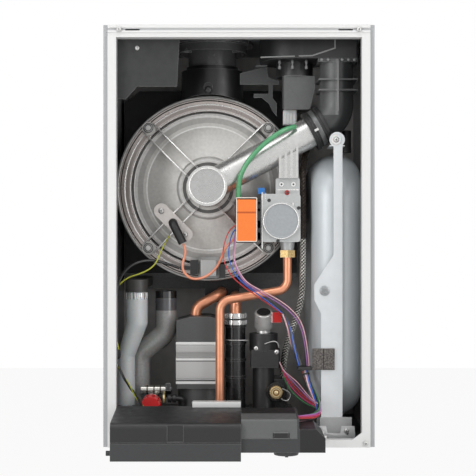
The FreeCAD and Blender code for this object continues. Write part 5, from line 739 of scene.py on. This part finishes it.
def make_piece(name, mesh, materials, body="casing"):
    """Turn a mesh in the making into a piece that rides on a body."""
    bmesh.ops.recalc_face_normals(mesh, faces=mesh.faces)
    data = bpy.data.meshes.new(name)
    mesh.to_mesh(data)
    mesh.free()
    for face in data.polygons:
        face.use_smooth = True
    data.set_sharp_from_angle(angle=crease)
    for material in materials:
        data.materials.append(material)
    piece = bpy.data.objects.new(name, data)
    bpy.context.scene.collection.objects.link(piece)
    if body:
        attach(piece, body)
    print(name, "of", len(data.polygons), "faces")
    return piece


# %% [markdown]
# The large hose is braided: ten strands, half of them winding each way, over a dark rubber
# core.  The half that winds one way gets a dark copy of the braid's finish, painted shade between
# the bright ones.  The upper part of the hose is painted dark brown as painted shadow, and the lower part is
# bright.

# %% Braided hose
hose_route = [(154.5, 215, 113), (133, 216, 114), (117, 224, 140), (111, 246, 178), (111, 254, 232),
    (111, 255, 300), (111, 255, 348), (110, 252, 388), (103, 242, 424), (90, 222, 464), (80, 196, 504),
    (78, 190, 541.6)]
hose_radius = 6
braid_strand = 1.2
braid_turn = 30
strands_each_way = 5
strand_seat = 1.3
core_gap = 2.2
core_sides = 16
strand_sides = 5
# The upper part's dark brown is painted shadow on both braid finishes.
upper_hose_shadow = ((50, -300, -295), (200, -150, -90))

braid_lit = finish("braid", (236, 234, 228), 0.35, metallic=0.4, tint=0.3, grain=1.2,
    patches=[(upper_hose_shadow, (78, 66, 58))])
braid_shaded = finish("shaded braid", (52, 49, 45), 0.4, metallic=0.4, tint=0.4, grain=1.2,
    patches=[(upper_hose_shadow, (50, 42, 36))])
hose_core = finish("hose core", (36, 31, 28), 0.5, tint=0.3)
hose_line = finer(read_line(hose_route), 4)
mesh = bmesh.new()
sweep_tube(mesh, hose_line, hose_radius - core_gap * braid_strand, core_sides, 1)
for way, material_index in ((1, 0), (-1, 2)):
    for strand in range(strands_each_way):
        wound = wind(hose_line, hose_radius - strand_seat * braid_strand, way * braid_turn,
            2 * math.pi * strand / strands_each_way)
        sweep_tube(mesh, wound, braid_strand, strand_sides, material_index)
braided = make_piece("braided_gas_hose", mesh, [braid_lit, hose_core, braid_shaded])
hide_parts("braided_hose")

# %% [markdown]
# Bundles hold thin coloured wires.  The upper one drops from the ignition wires to the right
# clip.  The two looms go on over the hinge into the control box.  Cutting them at the hinge
# would open a gap, so each is built whole, rides on no body and is set in place.

# %% Bundles
wire_green = finish("green wire", (52, 130, 76), 0.3, tint=0.1, coat=0.3)
wire_magenta = finish("magenta wire", (198, 60, 120), 0.3, tint=0.1, coat=0.3)
wire_brown = finish("brown wire", (112, 62, 44), 0.3, tint=0.1, coat=0.3)
upper_route = [(73.5, 290.5, 422.5), (84, 291, 443), (90, 292, 468), (97, 294, 490), (104, 294, 509.3)]
left_route = [(-212, 256, 504.2), (-206, 259, 522), (-194, 270, 540), (-178, 298, 556), (-162, 328, 572),
    (-152, 352, 584), (-150, 372, 588)]
right_route = [(112, 291, 518.4), (117, 295, 538), (127, 309, 559), (134, 334, 574), (129, 362, 583),
    (112, 388, 584), (88, 400, 584)]
wire_sides = 8


def bundle(name, route, reach, radius, turn_length, node, materials, body="casing"):
    """Wires side by side round a middle wire, all winding slowly about one line."""
    line = finer(read_line(route), 2)
    mesh = bmesh.new()
    sweep_tube(mesh, line, radius, wire_sides)
    around = len(materials) - 1
    for index in range(around):
        wound = wind(line, reach, turn_length, 2 * math.pi * index / around)
        sweep_tube(mesh, wound, radius, wire_sides, index + 1)
    piece = make_piece(name, mesh, materials, body)
    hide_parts(node)
    return piece


bundle("upper_wire_bundle", upper_route, 2.6, 1.3, 180, "wiring",
    [sheath_black, sheath_black, sheath_black, sheath_black, wire_blue, sheath_black, wire_white])
right_loom = bundle("right_loom_wires", right_route, 3.6, 1.4, 300, "control_loom",
    [wire_brown, sheath_black, wire_red, wire_magenta, wire_violet, wire_green, sheath_black, wire_blue,
    wire_white], body=None)
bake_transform(right_loom)
left_loom = bundle("left_loom_wires", left_route, 1.4, 1.1, 80, "control_loom",
    [sheath_black, earth_yellow, sheath_black, sheath_black], body=None)
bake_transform(left_loom)

# %% [markdown]
# The finer pieces are turned rings, screw heads, plugs and clips.  Boolean cuts in the big
# solids would be slow and fragile.  Each small part is made by itself instead, by turning an
# outline or rounding a block, and is seated on the casting or sheet that carries it.

# %% Turning and blocks
forward = (0, -1, 0)
block_profile = 0.6
block_segments = 3
same_vertex = 1e-6


def moved(part, turn, place):
    """Turn a part about the origin and set it at a place."""
    for vert in part.verts:
        vert.co = turn @ vert.co + Vector(place) * mm
    return part


def lathe(outline, centre, toward=forward, steps=48):
    """Turn an outline of (radius, rise) points about an axis through a centre."""
    part = bmesh.new()
    verts = [part.verts.new((radius * mm, 0, rise * mm)) for radius, rise in outline]
    closed = verts[1:] + verts[:1] if outline[0][0] and outline[-1][0] else verts[1:]
    edges = [part.edges.new(pair) for pair in zip(verts, closed)]
    bmesh.ops.spin(part, geom=verts + edges, angle=2 * math.pi, steps=steps, axis=(0, 0, 1), cent=(0, 0, 0))
    bmesh.ops.remove_doubles(part, verts=part.verts, dist=same_vertex)
    return moved(part, Vector((0, 0, 1)).rotation_difference(Vector(toward)), centre)


def block(low, high, rounding, material_index=0):
    """A block with rounded edges between two corners."""
    part = bmesh.new()
    bmesh.ops.create_cube(part, size=1)
    for vert in part.verts:
        vert.co = [((a + b) / 2 + (b - a) * share) * mm for a, b, share in zip(low, high, vert.co)]
    bmesh.ops.bevel(part, geom=part.edges[:], offset=rounding * mm, segments=block_segments, affect="EDGES",
        profile=block_profile)
    for face in part.faces:
        face.material_index = material_index
    return part


def join(parts):
    """One mesh in the making out of several, which are freed."""
    mesh = bmesh.new()
    for part in parts:
        data = bpy.data.meshes.new("part")
        part.to_mesh(data)
        part.free()
        mesh.from_mesh(data)
        bpy.data.meshes.remove(data)
    return mesh


def build(name, material, slot, *parts, body="casing"):
    return make_piece(name, join(parts), [material], body)


def moulded(name, *parts):
    return build(name, black_moulding, "black_moulding", *parts)


# %% [markdown]
# The hub and the gas valve's cap each carry a bright machined ring, and the drum's edge has
# rolled beads, whose bright finish is a painted highlight.  A painted line would vanish when seen
# from the side.  A turned bead of round section catches the soft boxes as a thin bright line from anywhere.

# %% Machined rings
bead_points = 12
rim_steps = 120
bright_metal = finish("bright edge and painted highlight", (232, 231, 229), 0.25, metallic=0.6, tint=0.08, wear=0.2)


def bead(radius, section):
    """The outline of a round bead of one section, turned at a radius."""
    angles = [2 * math.pi * step / bead_points for step in range(bead_points)]
    return [(radius + section * math.cos(angle), section * math.sin(angle)) for angle in angles]


def on_drum(depth):
    return (drum_axis[0], -depth, drum_axis[1])


def bright_piece(name, *parts):
    return build(name, bright_metal, "cast_aluminium", *parts)


for name, radius, section, depth in (("hub_ring", 30, 1.2, 299.4), ("hub_outer_ring", 33.5, 0.7, 298.8)):
    bright_piece(name, lathe(bead(radius, section), on_drum(depth)))
valve_cap = (valve_axis[0], -290, valve_axis[1])
bright_piece("valve_cap_ring", lathe(bead(30, 0.9), valve_cap))
# The drum's two beads take the bright finish as painted highlights; the door's bead keeps the casting's.
rim_beads = (("door_rim_bead", 132.5, 1.2, 198.2, door_casting, "cast_aluminium"),
    ("drum_inner_bead", 139.8, 1.1, 193.8, bright_metal, "stainless"),
    ("drum_outer_bead", 150, 1.5, 194.2, bright_metal, "stainless"))
for name, radius, section, depth, material, slot in rim_beads:
    build(name, material, slot, lathe(bead(radius, section), on_drum(depth), steps=rim_steps))

# %% [markdown]
# Four pairs of ribs fall from the hub to the door's bolts, and each carries a bright strip, a
# painted highlight along the rib.  A straight block is bent into place vertex by vertex: it is laid
# along the rib's slope and then turned about the drum's axis.

# %% Rib highlight strips
rib_start = 60
rib_end = 150
rib_apart = 11.5
strip_half = 1.1
strip_lift = 0.5
strip_edge = 0.3
rib_foot = 128.5
rib_foot_depth = 210.8
rib_slope = 0.2415


def rib_highlight_strip(turn, side):
    """A bright strip on one rib, a painted highlight, which falls from the hub to the bolt."""
    middle = side * rib_apart
    part = block((rib_start, -strip_lift, middle - strip_half),
        (rib_end, strip_lift, middle + strip_half), strip_edge)
    for vert in part.verts:
        along, lift_off, across = vert.co / mm
        depth = rib_foot_depth + (rib_foot - along) * rib_slope + lift_off
        vert.co = Vector((drum_axis[0] + math.cos(turn) * along - math.sin(turn) * across, -depth,
            drum_axis[1] + math.sin(turn) * along + math.cos(turn) * across)) * mm
    return part


bright_piece("rib_highlight_strips",
    *[rib_highlight_strip(math.pi / 4 + quarter * math.pi / 2, side) for quarter in range(4) for side in (-1, 1)])

# %% [markdown]
# Each bolt of the door shows a stud's end, a six-sided nut and a washer, with painted shade round
# the nut and the seat.  A lathe with six steps turns a nut, and with many steps a washer, so all come from
# outlines.

# %% Door bolts
stud_end = [(0, 6.2), (1.8, 6.2), (2.2, 5.6), (2.2, 1), (0, 1)]
nut_side = [(0, 4.6), (4, 4.6), (4.8, 3.8), (4.8, 0.4), (0, 0.4)]
nut_washer = [(0, 1.4), (6.8, 1.4), (7.4, 0.8), (7.4, -0.4), (0, -0.4)]
# The two dark rings are painted shade round the washer's seat and the nut's foot.
seat_shade_ring = [(7.5, -0.3), (8.6, -0.3), (8.8, -0.8), (7.5, -0.8)]
nut_shade_ring = [(5, 1.8), (6.4, 1.8), (6.4, 1.2), (5, 1.2)]
bolt_places = [(x, -218, z) for x in (-160.1, 52.1) for z in (-311, -99)]
bolt_parts = ((stud_end, 16), (nut_side, 6), (nut_washer, 24))
build("door_bolt_heads", zinc, "zinc_steel",
    *[lathe(outline, place, steps=steps) for place in bolt_places for outline, steps in bolt_parts])
build("bolt_shade_rings", finish("bolt shade", (58, 57, 56), 0.5, tint=0.2), "zinc_steel",
    *[lathe(outline, place, steps=24) for place in bolt_places for outline in (seat_shade_ring, nut_shade_ring)])

# %% [markdown]
# A pan-head screw has a low dome with a cross pressed into it.  The domes are turned, and the
# cross is painted shade in its recess: two dark crossed bars set a hair above the dome's own surface.

# %% Pan-head screws
# This dark finish is painted shade in recesses: screw crosses, socket floors and the adjuster's core.
recess_shade = finish("screw recess shade", (60, 60, 60), 0.6)
cross_proud = 0.1
cross_depth = 0.6


def pan_head(radius):
    return [(0, radius * 0.5), (radius * 0.5, radius * 0.45), (radius * 0.85, radius * 0.28),
        (radius, radius * 0.05), (radius, -radius * 0.1), (0, -radius * 0.1)]


def pan_screws(name, radius, *places, metal=zinc, slot="zinc_steel"):
    """Pan-head screws whose seats lie at the places, facing forward."""
    arm = radius * 0.5
    half = radius * 0.09
    parts = []
    for x, y, z in places:
        parts.append(lathe(pan_head(radius), (x, y, z), steps=24))
        face = y - radius * 0.5
        for across, up in ((arm, half), (half, arm)):
            parts.append(block((x - across, face - cross_proud, z - up),
                (x + across, face + cross_depth, z + up), half * 0.3, 1))
    make_piece(name, join(parts), [metal, recess_shade])


pan_screws("rail_screws", 4.2, (-198.5, -347.4, 51.5), (198.5, -347.4, 51.5), (-209.5, -347.4, -633),
    (209.5, -347.4, -633))
pan_screws("electrode_screws", 5.2, (-94.7, -226.4, -287.4), (-136.4, -226.4, -245.7))
pan_screws("strap_rivets", 4.6, (164.5, -303.7, -127), (183, -303.7, -623))
pan_screws("foot_screws", 7.5, (-196.6, -378.6, -619), (131.2, -378.6, -619))
pan_screws("plate_rivet", 3.4, (-170, -326.2, 24))
pan_screws("foot_plate_screw", 4.6, (181.5, -305.6, -619))
pan_screws("diverter_screws", 4.2, (30, -230, -487), (66, -232.2, -493), metal=bright_metal)
pan_screws("collector_boss", 7, (-54, -229, -33), metal=black_moulding, slot="black_moulding")

# %% [markdown]
# The strap is held by a nut with a rounded end on a wide washer.  The gas valve has two pale
# screws with a round socket.  They differ from the other heads, so each has its own outline.

# %% Strap nut and valve screws
# The strap nut's zinc is a darker copy of the zinc plate, painted shade on the nut.
shaded_nut_zinc = finish("shaded nut zinc", (160, 163, 165), 0.35, metallic=0.5, tint=0.2, wear=0.3)
pale_zinc = finish("pale zinc", (236, 236, 235), 0.4, tint=0.05)
dome_nut = [(0, 4.6), (1.6, 4.6), (2, 3.2), (2.6, 3.2), (3, 4), (4.6, 4), (5.3, 3), (5.3, 1), (0, 1)]
wide_washer = [(0, 1.4), (6.6, 1.4), (8.6, 0.6), (8.8, -0.4), (0, -0.4)]
socket_head = [(1.7, 0.2), (1.7, 1.8), (3.4, 1.8), (4, 1), (4, -0.4), (1.7, -0.4)]
socket_floor = [(0, 0.6), (1.8, 0.6), (1.8, -0.2), (0, -0.2)]
nut_place = (145, -303.2, -382.5)
valve_places = [(x, -278.2, -201.5) for x in (72.8, 93.2)]
build("strap_nut", shaded_nut_zinc, "zinc_steel", lathe(dome_nut, nut_place, steps=6),
    lathe(wide_washer, nut_place, steps=32))
build("valve_screws", pale_zinc, "zinc_steel",
    *[lathe(socket_head, place, steps=24) for place in valve_places])
# The dark socket floors are painted shade.
build("valve_screw_sockets", recess_shade, "zinc_steel",
    *[lathe(socket_floor, place, steps=16) for place in valve_places])

# %% [markdown]
# The strap's white ring keeps the hook screw from chafing, and a strip of dark foam glued on
# the strap keeps the cover from rattling.  Cloth simulation would be much work for so small a
# pad.  Its grid is shaped by a formula: the sides pull in and the face is crowned.

# %% Hook ring and foam pad
white_nylon = finish("white nylon", (222, 222, 220), 0.35, tint=0.05, soft=0.2)
nylon_ring = [(5.2, 0), (5.2, 1.6), (8.2, 1.6), (8.8, 1), (8.8, 0)]
build("hook_washer", white_nylon, "translucent", lathe(nylon_ring, (164.5, -302.5, -127)))

foam_seam = ((142, -311, -530), (143.2, -300, -470))
foam = finish("open foam", (128, 122, 118), 0.9, tint=0.97, grain=3, fine=1.6, depth=1,
    patches=[(foam_seam, (30, 30, 30))])
foam_low = Vector((123.5, -309.2, -516.5)) * mm
foam_high = Vector((162, -302.4, -479.5)) * mm
foam_cells = 24
roundness = 6
crown_share = 0.3
side_pull = 0.03


def foam_outline(x, z):
    """How full the pad is at a place: one in the middle, falling off at its edges."""
    return (1 - abs(2 * x) ** roundness) ** 0.5 * (1 - abs(2 * z) ** roundness) ** 0.5


mesh = bmesh.new()
bmesh.ops.create_grid(mesh, x_segments=foam_cells, y_segments=foam_cells, size=0.5)
middle = (foam_low + foam_high) / 2
size = foam_high - foam_low
for vert in mesh.verts:
    fullness = foam_outline(vert.co.x, vert.co.y)
    pull = 1 - side_pull * (1 - fullness)
    vert.co = Vector((middle.x + size.x * vert.co.x * pull,
        foam_high.y - size.y * (1 - crown_share + crown_share * fullness),
        middle.z + size.z * vert.co.y * pull))
walls = bmesh.ops.extrude_edge_only(mesh, edges=[edge for edge in mesh.edges if edge.is_boundary])
for item in walls["geom"]:
    if isinstance(item, bmesh.types.BMVert):
        item.co.y = foam_high.y
bmesh.ops.contextual_create(mesh, geom=[edge for edge in mesh.edges if edge.is_boundary])
foam_pad = make_piece("strap_foam_pad", mesh, [foam])
print("foam pad", [round(value, 4) for value in size])

# %% [markdown]
# Two moulded clips hold the leads where they turn down to the box.  They join the leads from
# above with the looms below, so a plain rounded block is enough: most of it is covered.


# %% Lead clips
def lead_clip(name, centre, half_width, half_height):
    """A moulded holder that takes the leads from above and passes them on below."""
    half = Vector((half_width, half_width, half_height))
    clip = moulded(name, block(Vector(centre) - half, Vector(centre) + half, half_height * 0.6))
    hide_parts("wiring")


lead_clip("left_lead_clip", (-213, -256, -495), 8, 8)
lead_clip("right_lead_clip", (112, -293, -514), 12, 2.7)

# %% [markdown]
# The fan's motor takes a white plug with four finger ribs, and a black tie holds the right
# loom together.  The plug is blocks set on a block, and the tie is a ring on the loom's slope.

# %% Plugs and ties
plug_ribs = [block((x, -237.2, -93), (x + 2.6, -235.5, -74), 0.4) for x in (80, 85.5, 91, 96.5)]
build("motor_plug", white_nylon, "translucent", block((77.5, -236, -95), (101, -213, -69.5), 1.2),
    *plug_ribs)
tie_ring = [(4.9, -1.6), (5.8, -1.6), (6.2, 0), (5.8, 1.6), (4.9, 1.6)]
moulded("loom_tie", lathe(tie_ring, (114, -292.5, -524.5), toward=(0.2, -0.25, -1)))

# %% [markdown]
# Bent spring wires lock the pipe ends and the caps of the hydraulic group.  Each is a curve
# like the leads, with bare zinc for its sheath, and both its ends press on the moulding.


# %% Spring clips
def spring_clip(name, points, diameter):
    lay_lead(name, points, diameter, zinc, node=None)


spring_clip("column_clip", [(-22, 222, 472.5), (-19, 231, 472.5), (-6, 234.5, 472.5), (8, 231, 472.5),
    (16, 224, 473.5)], 2.2)
spring_clip("cap_clip", [(75.5, 240, 556), (83, 240, 559), (91, 238, 566), (88, 237, 576), (80, 236, 579),
    (74, 236, 574)], 1.8)
spring_clip("diverter_clip", [(45, 233.5, 479), (56, 234.5, 474), (68, 233.5, 474.5), (70.5, 232, 485)],
    1.8)

# %% [markdown]
# A brass cap closes the filling tap, with two grooves round its face.  The diverter's motor
# is a brushed can that leans forward, and its dark lid leans with it.  Both are turned, the
# lid about the can's own slanted axis.

# %% Brass cap and can lid
cap_axis = (65, -563)
cap_steps = [(0, 4.6), (2.2, 4.6), (3.4, 4), (3.6, 2.6), (5.8, 2.6), (6.2, 4.8), (7.8, 4.8), (8, 3.4),
    (9.4, 3.4), (10, 2.6), (10.4, 0), (0, 0)]
# The two darker rings are painted shade in the cap's grooves.
cap_groove_shade = [(cap_axis, 3.5, 5.8, (158, 118, 62)), (cap_axis, 7.8, 8.8, (150, 116, 70))]
pale_brass = finish("pale brass", (236, 212, 160), 0.25, metallic=0.4, tint=0.1, rings=cap_groove_shade, wear=0.4)
build("brass_cap", pale_brass, "brass", lathe(cap_steps, (cap_axis[0], -239.8, cap_axis[1])))

can_lean = math.radians(28)
can_axis = Vector((0, -math.sin(can_lean), math.cos(can_lean)))
can_foot = Vector((43.5, -208, -450))
can_height = 30
lid_steps = [(0, 1.2), (3, 1.4), (3.4, 0.6), (9, 0.6), (9.4, 1.2), (11.6, 1.2), (12.2, 0.4), (12.2, -1),
    (0, -1)]
build("can_lid", finish("matt lid", (18, 18, 18), 0.8, tint=0.3), "black_moulding",
    lathe(lid_steps, can_foot + can_axis * can_height, toward=can_axis))

# %% [markdown]
# The ignition case is clipped in a pale frame whose four slim bars show as a rim round its
# front, and black plugs sit in its side.  A hollow rim would need a cut.  Four rounded blocks
# that lie on the case's own edges look the same.

# %% Case rim
rim = 1.6
left, right, bottom, top = -4.9, 30.9, -299.9, -224.1
back, front = -290, -298.8
build("case_rim", finish("cream rim", (224, 218, 206), 0.4, tint=0.08, wear=0.3), "orange_moulding",
    block((left, front, bottom), (left + rim, back, top), 0.4),
    block((right - rim, front, bottom), (right, back, top), 0.4),
    block((left, front, bottom), (right, back, bottom + rim), 0.4),
    block((left, front, top - rim), (right, back, top), 0.4))
plug_rows = ((-228.5, 8), (-242.5, 6), (-263, 14), (-283, 15))
moulded("case_plugs",
    *[block((30, -290, start - height), (37.2, -270, start), 0.7) for start, height in plug_rows])

# %% [markdown]
# The gas valve's body is full of small machined places: raised bars, plugged holes and a red
# sealed adjuster.  They are short turned plugs and rounded blocks on its front face.

# %% Valve details
valve_face = -284.2
bright_piece("valve_bars", block((38.5, -285.6, -312), (40.8, -283.5, -215), 0.6),
    block((90.5, -286.8, -243), (93.5, -283.5, -233), 0.6),
    block((66, -279.2, -212), (102.5, -277.5, -209.8), 0.4),
    block((45, -285.2, -228), (46.5, -283.5, -216), 0.4))
plug_shape = [(0, 0.6), (1.2, 0.6), (1.5, 1.4), (2.6, 1.4), (3, 0.8), (3, -0.4), (0, -0.4)]
moulded("valve_plugs", *[lathe(plug_shape, (x, valve_face, z), steps=20)
    for x, z in ((51.5, -229), (102, -242), (66.5, -298.5))])
build("sealed_adjuster", finish("sealing red", (170, 40, 36), 0.35, tint=0.3), "red_moulding",
    lathe([(0, 1.4), (3, 1.2), (4.2, 0.4), (4.4, -0.4), (0, -0.4)], (82.2, -284.6, -215.8), steps=24))
# The adjuster's dark core is painted shade.
build("adjuster_core", recess_shade, "black_moulding", lathe([(0, 1.2), (1.8, 1), (2.2, -0.2), (0, -0.2)],
    (83, -285.8, -215.8), steps=16))

# %% [markdown]
# The relief valve's outlet goes on as a black coupling and an elbow that turns down on to the
# hydraulic base.  It is one short bent curve with two turned collars and a pale brass ring.

# %% Relief outlet
sideways = (1, 0, 0)
lay_lead("relief_outlet", [(-124, 237, 573.5), (-108, 237, 573.5), (-98.5, 234, 574.5), (-98.5, 231, 585),
    (-98.5, 230, 598.5)], 8.4, black_moulding, node=None)
collar = [(4, -3), (6.8, -3), (7.4, -2.2), (7.4, 2.2), (6.8, 3), (4, 3)]
moulded("outlet_collars", *[lathe(collar, (x, -237, -573.5), sideways, 24) for x in (-121.5, -113)])
build("outlet_window", finish("pale brass ring", (226, 206, 150), 0.3, metallic=0.4), "brass",
    lathe([(5, -1.6), (8.2, -1.6), (8.2, 1.6), (5, 1.6)], (-131, -237, -573.5), sideways, 24))

# %% [markdown]
# The foot bracket is a light plate with a U cut in front of a grey one, and the fan's floor
# has a rolled black lip, painted grey as its highlight.  Such flat sheet is best cut from an outline: its
# corners are one face, which is pulled back to the sheet's thickness and rounded a little.


# %% Cut plates
def plate_piece(name, outline, back, thickness, material, rounding=0.5):
    """A flat plate cut to an outline of (x, z) points, standing on edge in front of a depth."""
    mesh = bmesh.new()
    face = mesh.faces.new([mesh.verts.new(Vector((x, back - thickness, z)) * mm) for x, z in outline])
    for item in bmesh.ops.extrude_face_region(mesh, geom=[face])["geom"]:
        if isinstance(item, bmesh.types.BMVert):
            item.co.y = back * mm
    bmesh.ops.recalc_face_normals(mesh, faces=mesh.faces)
    bmesh.ops.bevel(mesh, geom=mesh.edges[:], offset=rounding * mm, segments=2, affect="EDGES",
        profile=block_profile)
    make_piece(name, mesh, [material])


foot_grey = finish("foot grey", (168, 169, 169), 0.45, metallic=0.2, tint=0.08, wear=0.6, wear_width=2)
light_plate = finish("light plate", (206, 207, 207), 0.4, metallic=0.2, tint=0.06, wear=0.3)
plate_piece("foot_back", [(137, -631.5), (137, -596), (190.6, -596), (190.6, -631.5)], -302.4, 1.6,
    foot_grey)
plate_piece("foot_bracket", [(140.2, -624.3), (130.1, -614.2), (135.1, -610.8), (146.9, -610.8),
    (149.5, -622.6), (170.6, -623.5), (173.1, -610.8), (195.1, -610.8), (196.8, -634.4), (150.3, -634.4)],
    -304, 1.5, light_plate)
# The lip's grey is a painted highlight on black plastic.
plate_piece("fan_floor_lip", [(36.5, 12.2), (124.5, 15), (164, 28.2), (164, 48), (161.8, 48), (161.8, 29.8),
    (124, 17.2), (36.5, 14.4)], -293.5, 3.4, finish("black edge with painted highlight", (132, 133, 132), 0.4, wear=0.3),
    rounding=0.4)

# %% [markdown]
# The control box carries an aluminium earth bar on its lid.  It has to swing with the box, so
# it rides on the box, where the other small pieces ride on the casing.

# %% Earth bar
bar_aluminium = finish("bar aluminium", (214, 215, 214), 0.35, metallic=0.4, tint=0.06, stretch=(12, 1, 1),
    wear=0.3)
build("earth_bar", bar_aluminium, "cast_aluminium", block((-76, -379, -569), (3, -361, -559.7), 1),
    body="control_box")

# %% [markdown]
# Three grey posts hang under the fan's floor, and five small screws hold its edge.  One
# outline, turned at three places and facing down, gives the posts.

# %% Fan posts
post = [(0, 0), (2.6, 0), (2.6, 5), (1.6, 5.6), (1.6, 10), (2.8, 10.4), (2.8, 14), (1.8, 15), (0, 15)]
post_places = [(70, -264, 12.6), (92, -268, 12.6), (116, -266, 12.6)]
edge_screw = pan_head(2.8)
build("fan_posts", finish("grey post", (128, 129, 129), 0.35, metallic=0.3, wear=0.4), "zinc_steel",
    *[lathe(post, place, (0, 0, -1), 16) for place in post_places],
    *[lathe(edge_screw, (x, -299, 9), steps=16) for x in (140, 151, 175, 186, 196)])

# %% [markdown]
# A steel band clamps the rubber coupling on to the pipe.  It is a turned ring on the slanted
# axis, and its screw lug is two blocks that are leaned the same way and set at its front.

# %% Coupling clamp
slant = math.radians(28)
slant_axis = Vector((math.cos(slant), 0, math.sin(slant)))
clamp_centre = Vector((135.2, -266, -104.4))
lug_offset = Vector((-4, -33.5, -6))
band = [(31.8, -3.4), (32.8, -3.4), (33, -2.8), (33, 2.8), (32.8, 3.4), (31.8, 3.4)]
build("coupling_clamp", finish("clamp steel", (104, 105, 105), 0.35, metallic=0.4, tint=0.15, wear=0.4),
    "zinc_steel", lathe(band, clamp_centre, slant_axis, 64))
turn = Vector((0, 0, 1)).rotation_difference(slant_axis)
lug_blocks = [block((-2.2, -6, -3.8), (2.2, 6, 3.8), 0.8), block((-1, -10, -2.8), (1, -5, 2.8), 0.4)]
build("clamp_lug", bright_metal, "zinc_steel",
    *[moved(part, turn, clamp_centre + lug_offset) for part in lug_blocks])

# %% [markdown]
# Chrome nuts have fins for a wrench, and a plain turned ring would not show them.  Each fin is
# a rounded block, and the blocks stand in a ring about the nut's upright axis.


# %% Finned nuts
def finned(name, centre, radius, low, high, count, thickness, slot="chrome"):
    inner = (radius - thickness, -thickness / 2, low)
    outer = (radius + thickness / 2, thickness / 2, high)
    build(name, chrome, slot, *[moved(block(inner, outer, thickness / 5),
        Quaternion((0, 0, 1), 2 * math.pi * index / count), (*centre, 0)) for index in range(count)])


column = (-6, -212)
finned("siphon_nut_fins", (-179, -232), 17.8, -400, -388.5, 18, 3, "grey_moulding")
finned("upper_nut_fins", column, 18, -434.5, -426.5, 20, 2.6)
finned("lower_nut_fins", column, 18.6, -445.5, -438.5, 20, 2.6)

# %% [markdown]
# A flat ribbon of five wires leaves the diverter's side and fans out to meet the right loom.
# They run side by side, each a little apart from the next, so one list of guide points is
# shifted a step for each wire.

# %% Diverter wires
for index, material in enumerate((wire_green, wire_magenta, wire_red, wire_violet, wire_white)):
    gap = 2.3 * index
    lay_lead(f"diverter_wire_{index + 1}", [(70, 218 + gap, 508), (76, 230 + gap, 524),
        (80 + gap, 248 + gap, 542 - gap), (93 + gap, 272, 561 - 2 * gap), (113, 296, 574 - 2 * gap),
        (126.2, 318, 577 - gap), (130, 335, 577 - gap)], thin_lead, material, node=None)
